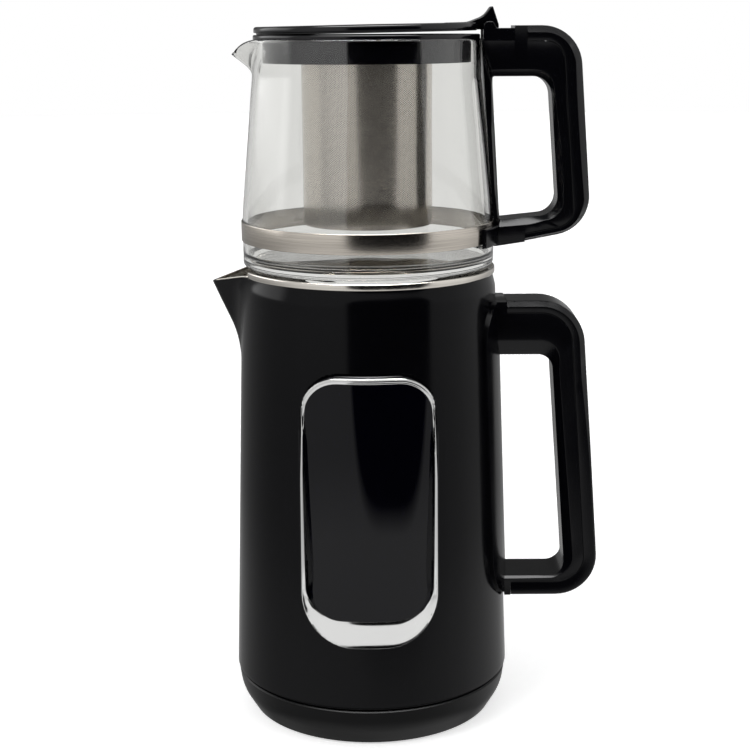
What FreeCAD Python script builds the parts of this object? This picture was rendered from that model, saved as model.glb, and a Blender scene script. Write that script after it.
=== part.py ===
import FreeCAD, Part
import math
import os
import re

import Sketcher

# A two-pot tea maker: a cordless kettle on a low power base, with a glass
# teapot standing in the kettle's rim. The common axis is Z, the spouts point
# to -X, the handles to +X and the display window to -Y. The origin is the
# centre of the underside, on the table. Millimetres and degrees.

# Each size has an alias, a value and a note. One with a fourth word is measured
# from that other size: its alias then stands for the sum of both.
SIZES = (
    # power base
    ("base_height", 22.0, "table to the base's top rim"),
    ("base_radius", 73.6, "base at its top rim"),
    ("base_lower_radius", -1.2, "base where its lower corner starts", "base_radius"),
    ("base_corner_height", 12.0, "height of the base's lower corner"),
    ("base_corner_bend", 20.0, "radius of that corner"),
    ("base_floor_radius", -7.3, "base at its underside", "base_radius"),
    ("base_wall", 2.4, "wall of the base housing"),
    ("base_edge", 0.8, "bevel at the base's top rim"),
    ("rim_width", 7.0, "raised rim round the dished deck"),
    ("deck_height", -2.0, "dished deck, below the top rim", "base_height"),
    ("deck_thickness", 2.4, "floor of the deck"),
    ("foot_height", 1.2, "how far the rubber feet stand out"),
    ("foot_radius", 6.0, "rubber foot"),
    ("foot_circle", -10.0, "circle of the feet's centres", "plate_radius"),
    ("foot_count", 4, "rubber feet"),
    ("plate_radius", -6.3, "base's bottom plate", "base_floor_radius"),
    ("plate_thickness", 2.0, "base's bottom plate"),
    ("plate_lip", 3.0, "ledge that the bottom plate seats on"),
    ("floor_inset", 1.0, "bowl's inner corner, inside its underside"),
    ("boss_radius", 4.0, "screw boss in the base"),
    ("boss_circle", -18.0, "circle of the base's screw bosses", "plate_radius"),
    ("screw_radius", 1.4, "screw thread, outside"),
    ("screw_head_radius", 2.7, "screw head"),
    ("screw_head_height", 1.2, "screw head"),
    ("screw_length", 9.0, "screw below its head"),
    ("gland_radius", 6.0, "cord gland's body"),
    ("gland_bore", 3.7, "hole for the cord in the gland"),
    ("gland_height", -10.0, "gland's axis, below the top rim", "base_height"),
    ("gland_flange", 1.6, "thickness of the gland's outer flange"),
    ("gland_depth", 9.0, "gland inside the flange"),
    ("gland_lip", 1.2, "gland's outer flange, beyond its body"),
    ("gland_seat", 0.2, "gland's flange, clear of the base's wall"),
    # power connector
    ("tower_radius", 16.8, "round plug tower on the base"),
    ("tower_top", 13.0, "tower's top, above the deck", "deck_height"),
    ("tower_bottom", -12.0, "tower's underside, below the deck", "deck_height"),
    ("tower_flange_radius", 7.2, "flange that clips under the deck", "tower_radius"),
    ("tower_flange", 2.6, "thickness of that flange"),
    ("tower_waist", 3.0, "tower below its flange, inside its own radius"),
    ("tower_edge", 1.5, "round of the tower's top"),
    ("pin_slot_radius", 2.4, "centre hole of the tower"),
    ("inner_slot_radius", 6.5, "middle line of the inner ring slot"),
    ("outer_slot_radius", 12.0, "middle line of the outer ring slot"),
    ("slot_width", 2.2, "ring slots of the tower"),
    ("slot_depth", 12.0, "ring slots and centre hole"),
    ("terminal_width", 6.3, "tab terminal"),
    ("terminal_thickness", 0.8, "tab terminal"),
    ("terminal_length", 4.2, "tab terminal below the tower"),
    ("terminal_circle", 10.0, "circle of the tab terminals"),
    # kettle body
    ("seam_gap", 1.2, "shadow gap between the base and the kettle"),
    ("shell_low_radius", 0.6, "kettle shell near its lower edge", "base_radius"),
    ("shell_low_height", 5.0, "height where that radius is, above the base", "base_height"),
    ("shell_high_radius", 67.1, "kettle shell under its shoulder"),
    ("shell_high_height", -5.0, "height where that radius is, below the top", "shell_top"),
    ("shell_top_radius", -1.2, "kettle shell at its top edge", "shell_high_radius"),
    ("shell_top", 219.0, "shell's top edge, above the base", "base_height"),
    ("shoulder_bend", 11.0, "radius of the shell's shoulder"),
    ("shell_wall", 2.4, "wall of the kettle shell"),
    ("shell_edge", 0.8, "round of the shell's lower edge"),
    ("shell_land", 3.5, "inward land at the shell's top"),
    ("pot_radius", -6.1, "steel pot, outside", "shell_high_radius"),
    ("pot_wall", 0.8, "steel sheet of the pot"),
    ("pot_floor", 12.0, "pot's underside, above the thermostat's", "control_bottom"),
    ("pot_corner", 8.0, "round between the pot's floor and wall"),
    ("ledge_height", 2.2, "ledge the teapot stands on, above the shell", "shell_top"),
    ("bead_radius", 1.3, "rolled rim of the pot, outside", "bead_inner_radius"),
    ("bead_inner_radius", -1.4, "rolled rim of the pot, inside", "shell_high_radius"),
    ("bead_bevel", 0.3, "small bevels of the rolled rim"),
    ("bead_top", 1.4, "top of the rolled rim, above the ledge", "ledge_height"),
    # kettle spout
    ("spout_start", -56.0, "height where the spout leaves the wall, from the top", "shell_top"),
    ("spout_start_reach", -5.6, "spout's nose there", "shell_high_radius"),
    ("spout_low", -32.0, "height of the spout's lower section, from the top", "shell_top"),
    ("spout_low_reach", 3.7, "spout's nose there", "shell_high_radius"),
    ("spout_middle", -19.0, "height of its middle section, from the top", "shell_top"),
    ("spout_middle_reach", 9.6, "spout's nose there", "shell_high_radius"),
    ("spout_high", 5.0, "height of its upper section, from the top", "shell_top"),
    ("spout_high_reach", 19.9, "spout's nose there", "shell_high_radius"),
    ("spout_tip_reach", 15.9, "lip's tip", "shell_high_radius"),
    ("spout_tip_height", -4.6, "lip's tip, below the shell's top", "shell_top"),
    ("spout_nose", 5.0, "round of the spout's nose"),
    ("spout_angle", 43.0, "half angle between the spout's sides"),
    ("spout_back", 45.0, "flat back of the spout's sections, inside the pot"),
    ("spout_wall", 1.8, "plastic of the spout"),
    ("lining_gap", 0.02, "between the spout and its steel lining"),
    ("lining_proud", 0.4, "lining above the spout's lip"),
    # heater and control
    ("heater_radius", -15.0, "aluminium heater plate", "pot_radius"),
    ("heater_thickness", 3.4, "aluminium heater plate"),
    ("element_radius", -10.0, "middle line of the heating element", "heater_radius"),
    ("element_width", 7.2, "heating element's section"),
    ("element_drop", 5.6, "heating element below the plate"),
    ("element_sweep", 310.0, "arc of the heating element"),
    ("element_pin_radius", 1.6, "heating element's cold pins"),
    ("element_pin_length", 7.0, "cold pins below the element"),
    ("element_pin_turn", 4.0, "degrees from the element's ends to its pins"),
    ("control_radius", 24.0, "thermostat housing"),
    ("control_bottom", 3.6, "thermostat housing's underside, above the connector's", "socket_bottom"),
    ("bimetal_radius", 8.0, "bimetal disc"),
    ("bimetal_thickness", 0.5, "bimetal disc"),
    ("bimetal_rise", 1.2, "dome of the bimetal disc"),
    ("bimetal_clearance", 1.0, "room round the bimetal disc"),
    ("socket_bottom", 1.4, "kettle connector's face, above the tower", "tower_top"),
    ("socket_radius", -0.2, "kettle connector's body", "well_radius"),
    ("blade_thickness", 1.2, "ring blades of the kettle connector"),
    ("blade_length", 10.5, "ring blades and centre pin"),
    ("centre_pin_radius", 1.8, "centre pin of the kettle connector"),
    # kettle bottom cover
    ("cover_height", 4.6, "bottom cover's underside, above the deck", "deck_height"),
    ("cover_thickness", 2.2, "bottom cover"),
    ("skid_radius", -13.6, "ring under the cover that stands on the deck", "base_radius"),
    ("skid_width", 3.0, "that ring"),
    ("well_radius", 3.6, "well round the connector", "tower_radius"),
    ("well_wall", 2.0, "wall of the well"),
    ("cover_boss_circle", -6.8, "circle of the cover's screws", "shell_low_radius"),
    ("cover_boss_radius", 4.6, "screw boss in the shell"),
    ("cover_boss_length", 13.0, "that boss, above the cover"),
    ("cover_screw_count", 3, "screws of the bottom cover"),
    ("fit_gap", 0.15, "gap between pieces that fit in each other"),
    # display window
    ("window_radius", 0.8, "outer face of the window, from the axis", "shell_high_radius"),
    ("window_thickness", 2.2, "window"),
    ("window_bottom", 46.9, "window's lower edge, above the base", "base_height"),
    ("window_top", -46.7, "window's upper edge, below the shell's top", "shell_top"),
    ("window_half_width", 32.5, "window, from the middle"),
    ("window_low_corner", 17.0, "window's lower corners"),
    ("window_high_corner", 17.0, "window's upper corners"),
    ("bezel_corner", 4.5, "chrome frame's corners, larger than the window's by"),
    ("bezel_side", 2.4, "chrome frame beside the window"),
    ("bezel_top", 6.1, "chrome frame above the window"),
    ("bezel_bottom", 12.1, "chrome frame below the window"),
    ("bezel_proud", 0.7, "chrome frame above the shell's surface"),
    ("bezel_lip", 0.2, "chrome frame's inner edge above the window"),
    ("bezel_back", -3.3, "back of the chrome frame", "window_radius"),
    ("board_half_width", 15.0, "control board"),
    ("board_bottom", 23.1, "board's lower edge, above the window's", "window_bottom"),
    ("board_length", 84.0, "control board"),
    ("board_thickness", 1.6, "control board"),
    ("board_gap", 0.35, "between the board's edges and the window"),
    ("ribbon_width", 12.0, "ribbon cable"),
    ("ribbon_thickness", 0.8, "ribbon cable"),
    ("ribbon_lift", 0.5, "ribbon's lower run, above the thermostat's underside"),
    # kettle handle
    ("mount_half_width", 34.0, "saddle of the handle on the shell"),
    ("mount_corner", 22.0, "corners of the saddle"),
    ("mount_thickness", 1.5, "saddle"),
    ("mount_fit", 0.05, "saddle's clearance on the shell"),
    ("mount_rise", 0.4, "saddle's lower edge, above the handle's underside"),
    ("bore_start", 1.0, "where the handle's screw bores start", "pot_radius"),
    ("bore_spare", 0.5, "screw bores beyond the screws' ends"),
    ("grip_top", -14.5, "upper arm's top, below the shell's top", "shell_top"),
    ("grip_bottom", 43.2, "lower arm's underside, above the base", "base_height"),
    ("grip_top_reach", 47.1, "handle's outer edge at the top", "shell_high_radius"),
    ("grip_bottom_reach", 51.6, "handle's outer edge at the bottom", "base_radius"),
    ("grip_width", 30.0, "handle across"),
    ("grip_root", -12.0, "arms' inner ends, before they are cut to the shell", "shell_high_radius"),
    ("grip_top_round", 24.0, "outer upper corner"),
    ("grip_bottom_round", 22.0, "outer lower corner"),
    ("hole_top", -29.3, "top of the finger opening, below the arm's top", "grip_top"),
    ("hole_bottom", 10.0, "bottom of the finger opening, above the arm's underside", "grip_bottom"),
    ("hole_top_reach", -18.6, "finger opening's outer edge at the top", "grip_top_reach"),
    ("hole_bottom_reach", -20.8, "finger opening's outer edge at the bottom", "grip_bottom_reach"),
    ("hole_top_round", 8.0, "opening's outer upper corner"),
    ("hole_bottom_round", 8.0, "opening's outer lower corner"),
    ("cap_high_start", 5.9, "outer cover's start on the upper arm", "shell_high_radius"),
    ("cap_low_start", 3.1, "outer cover's start on the lower arm", "base_radius"),
    ("cap_depth", 6.0, "outer cover on the upper arm"),
    ("cap_side", 7.0, "outer cover on the grip"),
    ("cap_low_depth", 4.4, "outer cover on the lower arm"),
    ("cap_gap", 0.4, "seam between the handle and its cover"),
    ("grip_wall", 2.6, "wall of the hollow handle"),
    ("hollow_rise", 8.0, "handle's hollow, above the finger opening's bottom"),
    ("grip_bevel", 5.0, "bevel along the finger opening"),
    ("grip_edge", 3.5, "round along the cover's outside"),
    # teapot
    ("glass_radius", -0.9, "glass jug at its widest", "shell_high_radius"),
    ("glass_wall", 2.4, "glass jug's wall"),
    ("glass_floor", 5.4, "glass jug's floor"),
    ("glass_foot", -3.6, "flat underside of the jug", "glass_radius"),
    ("glass_foot_bend", 3.7, "round between underside and wall"),
    ("glass_straight_top", 28.8, "where the jug starts to narrow, above the ledge", "ledge_height"),
    ("glass_bend", 186.0, "radius of that start"),
    ("glass_bend_top", 48.8, "where the straight taper starts, above the ledge", "ledge_height"),
    ("glass_bend_radius", -1.1, "jug there", "glass_radius"),
    ("glass_neck_height", -17.8, "where the neck starts, below the rim", "glass_top"),
    ("glass_neck_radius", -6.8, "jug there", "glass_radius"),
    ("glass_rim_radius", -0.3, "jug at its rim", "glass_neck_radius"),
    ("glass_top", 118.6, "jug's rim, above the ledge", "ledge_height"),
    ("lip_start", -16.8, "height where the jug's spout starts, from the rim", "glass_top"),
    ("lip_start_reach", -2.1, "spout's nose there", "glass_rim_radius"),
    ("lip_middle", -11.3, "height of its middle section, from the rim", "glass_top"),
    ("lip_middle_reach", 4.9, "spout's nose there", "glass_rim_radius"),
    ("lip_high", -4.8, "height of its upper section, from the rim", "glass_top"),
    ("lip_high_reach", 13.4, "spout's nose there", "glass_rim_radius"),
    ("lip_top", 1.2, "height of its last section, from the rim", "glass_top"),
    ("lip_top_reach", 17.9, "spout's nose there", "glass_rim_radius"),
    ("lip_tip_height", -8.6, "spout's tip, below the rim", "glass_top"),
    ("lip_tip_reach", 10.1, "spout's tip", "glass_rim_radius"),
    ("lip_nose", 5.0, "round of the spout's nose"),
    ("lip_angle", 40.0, "half angle between its sides"),
    ("lip_back", 48.0, "flat back of the spout's sections, inside the jug"),
    ("band_bottom", 15.8, "steel band's lower edge, above the ledge", "ledge_height"),
    ("band_height", 10.3, "steel band"),
    ("band_thickness", 0.7, "steel band"),
    ("band_fit", 0.02, "steel band's clearance on the glass"),
    # teapot handle
    ("arm_top", 7.4, "upper arm's top, above the jug's rim", "glass_top"),
    ("arm_top_reach", 45.3, "handle's outer edge at the top", "glass_radius"),
    ("arm_bottom_reach", 49.4, "handle's outer edge at the bottom", "glass_radius"),
    ("arm_bottom", 21.2, "lower arm's outer end, underside, above the ledge", "ledge_height"),
    ("arm_foot", 12.4, "handle's foot, above the ledge", "ledge_height"),
    ("arm_foot_reach", 3.3, "where the foot's underside ends", "glass_radius"),
    ("arm_width", 26.0, "teapot handle across"),
    ("arm_root", -14.0, "arm's inner end, before it is cut to the glass", "glass_rim_radius"),
    ("arm_round", 19.5, "outer corners"),
    ("gap_top", -18.8, "top of the finger opening, below the jug's rim", "glass_top"),
    ("gap_bottom", 29.0, "bottom of the finger opening, above the ledge", "ledge_height"),
    ("gap_top_start", -1.6, "inner edge of the opening at the top", "glass_radius"),
    ("gap_bottom_start", 2.8, "inner edge of the opening at the bottom", "glass_radius"),
    ("gap_top_reach", -18.9, "outer edge of the opening at the top", "arm_top_reach"),
    ("gap_bottom_reach", -18.4, "outer edge of the opening at the bottom", "arm_bottom_reach"),
    ("gap_top_round", 9.0, "opening's outer upper corner"),
    ("gap_bottom_round", 7.0, "opening's outer lower corner"),
    ("arm_cap_start", 16.0, "outer cover's start", "glass_radius"),
    ("arm_cap_depth", 7.9, "outer cover on the upper arm"),
    ("arm_cap_side", 9.5, "outer cover on the grip"),
    ("arm_cap_low", 4.4, "outer cover on the lower arm"),
    ("cheek_top", 5.4, "top of the cheeks beside the hinge", "glass_top"),
    ("saddle_angle", 70.0, "arc of the handle's foot on the band"),
    ("saddle_top", 8.0, "top of the foot on the band", "band_bottom"),
    ("saddle_thickness", 2.4, "foot on the band"),
    ("arm_bevel", 3.5, "bevel along the finger opening"),
    ("arm_edge", 4.0, "round along the cover's outside"),
    # strainer
    ("collar_radius", -0.5, "collar on the jug's rim", "glass_rim_radius"),
    ("collar_thickness", 2.6, "collar above the rim"),
    ("skirt_radius", -5.1, "collar's skirt in the jug", "glass_rim_radius"),
    ("skirt_wall", 1.4, "collar's skirt"),
    ("skirt_bottom", -11.5, "skirt's lower edge, below the jug's rim", "glass_top"),
    ("web_thickness", 1.4, "collar's floor"),
    ("notch_offset", 31.0, "drain slots of the skirt, from the middle"),
    ("notch_width", 1.4, "drain slots"),
    ("notch_height", 8.5, "drain slots"),
    ("basket_radius", 34.0, "strainer basket"),
    ("basket_wall", 0.5, "steel of the basket"),
    ("basket_bottom", 23.8, "basket's underside, above the ledge", "ledge_height"),
    ("basket_flange", 3.0, "basket's rim on the collar"),
    ("basket_cap_height", 4.0, "turned-up edge of the basket's floor"),
    # lid
    ("lid_radius", -0.4, "lid disc", "collar_radius"),
    ("lid_thickness", 4.0, "lid disc"),
    ("lid_edge", 0.8, "round of the lid's edge"),
    ("lid_bottom", 1.8, "lid's underside at the hinge, above the collar", "glass_top + collar_thickness"),
    ("lid_tilt", 0.7, "how far the closed lid leans to the spout"),
    ("hinge_reach", 3.2, "hinge pin", "glass_rim_radius"),
    ("hinge_height", 2.1, "hinge pin, above the lid's underside", "lid_bottom"),
    ("hinge_pin_radius", 1.25, "hinge pin"),
    ("hinge_clearance", 0.05, "running clearance on the pin"),
    ("pin_inset", 1.0, "hinge pin's ends, inside the handle's sides"),
    ("ear_radius", 2.8, "hinge ears"),
    ("knuckle_width", 15.6, "lid's hinge arm across"),
    ("knuckle_side_gap", 0.4, "gap beside the hinge arm"),
    ("pocket_floor", -0.2, "floor of the hinge pocket, from the jug's rim", "glass_top"),
    ("pocket_end", 13.2, "outer end of the hinge pocket", "hinge_reach"),
    ("lever_start", -14.3, "where the thumb lever rises from the lid", "hinge_reach"),
    ("lever_peak_reach", 2.5, "thumb lever's peak", "hinge_reach"),
    ("lever_peak", 11.8, "thumb lever's peak, above the lid's underside", "lid_bottom"),
    ("lever_hollow", 24.0, "radius of the lever's hollow"),
    ("lever_foot_reach", 5.9, "outer foot of the lever", "hinge_reach"),
    ("lever_tip", 0.5, "thumb lever's peak across"),
    ("lever_heel", 1.6, "bevel under the lever's foot, down from the pin"),
    ("lever_heel_inset", 0.4, "that bevel, in from the foot"),
    ("lever_root", 8.0, "hinge arm inside the disc"),
)

ORIGIN = {alias: start[0] if start else None for alias, value, note, *start in SIZES}
FAR = "200"
BEYOND = "5"
SLACK = "0.001"

doc = FreeCAD.newDocument("TeaMaker")
sheet = doc.addObject("Spreadsheet::Sheet", "Sizes")
for row, (alias, value, note, *start) in enumerate(SIZES, start=1):
    sheet.set(f"A{row}", note)
    sheet.set(f"B{row}", str(value))
    sheet.setAlias(f"B{row}", alias)
doc.recompute()

nodes = []


def spell(expression):
    """The expression with each alias as its cell, added to what it starts from."""

    def name(match):
        word = match.group()
        if word not in ORIGIN:
            return word
        start = ORIGIN[word]
        return f"({spell(start)} + Sizes.{word})" if start else "Sizes." + word

    return re.sub(r"[A-Za-z_]\w*", name, str(expression))


def number(expression):
    """The expression's value now, as a float."""
    result = sheet.evalExpression(spell(expression))
    return float(getattr(result, "Value", result))


def bind(item, prop, expression):
    """Tie one property to the sheet."""
    item.setExpression(prop, spell(expression))


def new_body(label):
    """An empty PartDesign body, kept under its own label."""
    body = doc.addObject("PartDesign::Body", label)
    body.Label = label
    nodes.append(body)
    return body


def plane_of(body, role):
    """One of the body's own origin planes or axes."""
    for feature in body.Origin.OriginFeatures:
        if feature.Role == role:
            return feature
    raise RuntimeError(f"{body.Label} has no {role}")


def new_sketch(body, plane, name, lift=None):
    """A sketch on XY, XZ or YZ; lift moves it along the plane's normal."""
    sketch = body.newObject("Sketcher::SketchObject", name)
    sketch.AttachmentSupport = [(plane_of(body, plane + "_Plane"), "")]
    sketch.MapMode = "FlatFace"
    if lift is not None:
        bind(sketch, ".AttachmentOffset.Base.z", lift)
    return sketch


def pin_point(sketch, edge, end, across, up):
    """Hold one end of an edge at (across, up) from the sketch's origin."""
    for kind, expression in (("DistanceX", across), ("DistanceY", up)):
        index = sketch.addConstraint(
            Sketcher.Constraint(kind, -1, 1, edge, end, number(expression))
        )
        bind(sketch, f"Constraints[{index}]", expression)


def outline(sketch, corners):
    """A closed loop through the corners (across, up) or (across, up, bend).

    A bend makes the edge that leaves the corner an arc of that radius; a
    bend that starts with a minus sign bulges to the other side. Every
    corner and radius is tied to the sheet.
    """
    spots = [FreeCAD.Vector(number(c[0]), number(c[1]), 0) for c in corners]
    edges = []
    for index, corner in enumerate(corners):
        start = spots[index]
        stop = spots[(index + 1) % len(spots)]
        if len(corner) == 2:
            edge = sketch.addGeometry(Part.LineSegment(start, stop))
            edges.append((edge, 1, 2))
            continue
        bend = str(corner[2])
        side = -1 if bend.startswith("-") else 1
        bend = bend.lstrip("-")
        radius = number(bend)
        chord = stop - start
        normal = FreeCAD.Vector(chord.y, -chord.x, 0).normalize() * side
        rise = radius - math.sqrt(radius * radius - chord.Length**2 / 4)
        arc = Part.Arc(start, (start + stop) * 0.5 + normal * rise, stop)
        edge = sketch.addGeometry(arc)
        first = sketch.getPoint(edge, 1)
        ends = (1, 2) if first.distanceToPoint(start) < 1e-6 else (2, 1)
        edges.append((edge,) + ends)
        index = sketch.addConstraint(Sketcher.Constraint("Radius", edge, radius))
        bind(sketch, f"Constraints[{index}]", bend)
    for (edge, first, last), (other, begin, end) in zip(edges, edges[1:] + edges[:1]):
        sketch.addConstraint(Sketcher.Constraint("Coincident", edge, last, other, begin))
    for (edge, first, last), corner in zip(edges, corners):
        pin_point(sketch, edge, first, corner[0], corner[1])
    return sketch


def circle(sketch, across, up, radius):
    """A circle tied to the sheet."""
    centre = FreeCAD.Vector(number(across), number(up), 0)
    edge = sketch.addGeometry(
        Part.Circle(centre, FreeCAD.Vector(0, 0, 1), number(radius))
    )
    index = sketch.addConstraint(Sketcher.Constraint("Radius", edge, number(radius)))
    bind(sketch, f"Constraints[{index}]", radius)
    pin_point(sketch, edge, 3, across, up)
    return sketch


def turn(body, sketch, kind="Revolution", sweep="360"):
    """Turn a sketch about its own upright axis, evenly to both sides."""
    feature = body.newObject("PartDesign::" + kind, sketch.Name + "_" + kind)
    feature.Profile = sketch
    feature.ReferenceAxis = (sketch, ["V_Axis"])
    feature.Midplane = sweep != "360"
    bind(feature, "Angle", sweep)
    doc.recompute()
    return feature


def raise_sketch(body, sketch, length, kind="Pad", both=False, back=False):
    """Pad or pocket a sketch; both centres it on the sketch's plane."""
    before = body_volume(body)
    feature = body.newObject("PartDesign::" + kind, sketch.Name + "_" + kind)
    feature.Profile = sketch
    bind(feature, "Length", length)
    feature.SideType = "Symmetric" if both else "One side"
    feature.Reversed = back
    doc.recompute()
    if kind == "Pocket" and before - body_volume(body) < 1e-3:
        raise RuntimeError(f"{feature.Name} cuts nothing")
    return feature


def body_volume(body):
    """Volume of the body as it stands."""
    shape = body.Shape
    return 0.0 if shape.isNull() else shape.Volume


def loft(body, sections, kind="AdditiveLoft"):
    """A smooth loft through sketches, in order."""
    feature = body.newObject("PartDesign::" + kind, sections[0].Name + "_" + kind)
    feature.Profile = sections[0]
    feature.Sections = sections[1:]
    doc.recompute()
    return feature


def repeat(body, feature, count):
    """Repeat a feature evenly round the Z axis."""
    pattern = body.newObject("PartDesign::PolarPattern", feature.Name + "_ring")
    pattern.Originals = [feature]
    pattern.Axis = (plane_of(body, "Z_Axis"), [""])
    pattern.Angle = 360
    bind(pattern, "Occurrences", count)
    body.Tip = pattern
    doc.recompute()
    return pattern


def dress(body, kind, amount, wanted):
    """Fillet or chamfer the tip's edges for which wanted(edge) is true."""
    tip = body.Tip
    names = [
        f"Edge{index}"
        for index, edge in enumerate(tip.Shape.Edges, start=1)
        if wanted(edge)
    ]
    if not names:
        raise RuntimeError(f"{body.Label}: no edge to {kind}")
    feature = body.newObject("PartDesign::" + kind, f"{body.Label}_{kind}{len(body.Group)}")
    feature.Base = (tip, names)
    bind(feature, "Radius" if kind == "Fillet" else "Size", amount)
    doc.recompute()
    return feature


def stands_at(across, up):
    """A test for straight edges along Y through (across, up)."""
    spot = FreeCAD.Vector(number(across), 0, number(up))

    def test(edge):
        for vertex in edge.Vertexes:
            point = FreeCAD.Vector(vertex.X, 0, vertex.Z)
            if point.distanceToPoint(spot) > 0.02:
                return False
        return len(edge.Vertexes) == 2

    return test


def on_loop(side, corners, rounds=()):
    """A test for edges on the planes |y| = side along a closed loop.

    An edge counts if its middle lies on one of the loop's straight sides,
    given by its corners (x, z), or if it is an arc of one of the radii.
    """
    spots = [FreeCAD.Vector(number(x), 0, number(z)) for x, z in corners]
    sides = list(zip(spots, spots[1:]))
    radii = [number(bend) for bend in rounds]
    reach = number(side)

    def test(edge):
        middle = edge.valueAt((edge.FirstParameter + edge.LastParameter) / 2)
        box = edge.BoundBox
        if box.YLength > 1e-4 or abs(abs(middle.y) - reach) > 1e-3:
            return False
        curve = getattr(edge.Curve, "Radius", None)
        if curve is not None:
            return any(abs(curve - radius) < 1e-3 for radius in radii)
        flat = FreeCAD.Vector(middle.x, 0, middle.z)
        return any(flat.distanceToLineSegment(*ends).Length < 0.02 for ends in sides)

    return test


def shell_at(height, extra="0"):
    """Expression for the radius of the kettle's cone at a height."""
    slope = (
        "(shell_high_radius - shell_low_radius)"
        " / (shell_high_height - shell_low_height)"
    )
    return f"shell_low_radius + ({height} - shell_low_height) * {slope} + {extra}"


# ---------------------------------------------------------------- power base

FLOOR = "foot_height"
PLATE_TOP = "foot_height + plate_thickness"
DECK_UNDER = "deck_height - deck_thickness"


def make_base_housing():
    """Bowl-shaped housing, open below, with a dished deck and screw bosses."""
    body = new_body("base_housing")
    wall = new_sketch(body, "XZ", "housing_section")
    outline(
        wall,
        (
            ("plate_radius + fit_gap", FLOOR),
            ("base_floor_radius", FLOOR, "base_corner_bend"),
            ("base_lower_radius", "base_corner_height"),
            ("base_radius", "base_height - base_edge"),
            ("base_radius - base_edge", "base_height"),
            ("base_radius - rim_width", "base_height"),
            ("base_radius - rim_width - base_edge", "deck_height"),
            ("tower_radius + fit_gap", "deck_height"),
            ("tower_radius + fit_gap", DECK_UNDER),
            ("base_radius - base_wall", DECK_UNDER),
            ("base_lower_radius - base_wall", "base_corner_height", "-base_corner_bend"),
            ("base_floor_radius - floor_inset", PLATE_TOP + " + plate_thickness"),
            ("plate_radius - plate_lip", PLATE_TOP + " + plate_thickness"),
            ("plate_radius - plate_lip", PLATE_TOP),
            ("plate_radius + fit_gap", PLATE_TOP),
        ),
    )
    turn(body, wall)
    boss = new_sketch(body, "XY", "housing_boss", PLATE_TOP)
    circle(boss, "boss_circle", "0", "boss_radius")
    circle(boss, "boss_circle", "0", "screw_radius")
    post = raise_sketch(body, boss, f"{DECK_UNDER} - ({PLATE_TOP})")
    repeat(body, post, "foot_count")
    hole = new_sketch(body, "XZ", "housing_gland_hole", "-(base_floor_radius - gland_depth)")
    circle(hole, "0", "gland_height", "gland_radius + fit_gap")
    raise_sketch(body, hole, "base_radius", "Pocket", back=False)
    return body


def make_base_plate():
    """Bottom plate with countersunk screw holes."""
    body = new_body("base_plate")
    disc = new_sketch(body, "XY", "plate_outline", FLOOR)
    circle(disc, "0", "0", "plate_radius")
    raise_sketch(body, disc, "plate_thickness")
    head = new_sketch(body, "XY", "plate_head", FLOOR)
    circle(head, "boss_circle", "0", "screw_head_radius + fit_gap")
    sink = raise_sketch(body, head, "screw_head_height", "Pocket", back=True)
    repeat(body, sink, "foot_count")
    shank = new_sketch(body, "XY", "plate_shank", FLOOR)
    circle(shank, "boss_circle", "0", "screw_radius + fit_gap")
    bore = raise_sketch(body, shank, "plate_thickness", "Pocket", back=True)
    repeat(body, bore, "foot_count")
    return body


def make_base_feet():
    """Rubber feet under the plate: one in the middle, the rest between the screws."""
    body = new_body("base_feet")
    body.AllowCompound = True
    middle = new_sketch(body, "XY", "middle_foot_outline")
    circle(middle, "0", "0", "foot_radius")
    raise_sketch(body, middle, "foot_height")
    pad = new_sketch(body, "XY", "foot_outline")
    circle(
        pad,
        "foot_circle * cos(180 / foot_count)",
        "foot_circle * sin(180 / foot_count)",
        "foot_radius",
    )
    foot = raise_sketch(body, pad, "foot_height")
    repeat(body, foot, "foot_count")
    return body


def make_screws(label, reach, head_bottom, length, count, start="0"):
    """Pan-head screws pointing up, on a circle about the axis."""
    body = new_body(label)
    body.AllowCompound = True
    head = new_sketch(body, "XY", label + "_head", head_bottom)
    across = f"({reach}) * cos({start})"
    along = f"({reach}) * sin({start})"
    circle(head, across, along, "screw_head_radius")
    top = raise_sketch(body, head, "screw_head_height")
    shank = new_sketch(body, "XY", label + "_shank", f"{head_bottom} + screw_head_height")
    circle(shank, across, along, "screw_radius")
    thread = raise_sketch(body, shank, length)
    pattern = body.newObject("PartDesign::PolarPattern", label + "_ring")
    pattern.Originals = [top, thread]
    pattern.Axis = (plane_of(body, "Z_Axis"), [""])
    pattern.Angle = 360
    bind(pattern, "Occurrences", count)
    body.Tip = pattern
    doc.recompute()
    return body


def make_cord_gland():
    """Flanged bush in the rear wall of the base."""
    body = new_body("cord_gland")
    section = new_sketch(body, "YZ", "gland_section")
    seat = "base_lower_radius + gland_flange"
    outline(
        section,
        (
            (f"{seat} - gland_flange - gland_depth", "gland_height + gland_bore"),
            (seat, "gland_height + gland_bore"),
            (seat, "gland_height + gland_radius + gland_lip"),
            ("base_radius + gland_seat", "gland_height + gland_radius + gland_lip"),
            ("base_radius + gland_seat", "gland_height + gland_radius"),
            (f"{seat} - gland_flange - gland_depth", "gland_height + gland_radius"),
        ),
    )
    axis = sketch_line(section, "0", "gland_height", "base_radius", "gland_height")
    ring = body.newObject("PartDesign::Revolution", "gland_turn")
    ring.Profile = section
    ring.ReferenceAxis = (section, [axis])
    ring.Angle = 360
    doc.recompute()
    return body


def sketch_line(sketch, across, up, across_end, up_end):
    """A construction line; returns the name it has as an axis."""
    start = FreeCAD.Vector(number(across), number(up), 0)
    stop = FreeCAD.Vector(number(across_end), number(up_end), 0)
    edge = sketch.addGeometry(Part.LineSegment(start, stop), True)
    pin_point(sketch, edge, 1, across, up)
    pin_point(sketch, edge, 2, across_end, up_end)
    return "Axis0"


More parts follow.
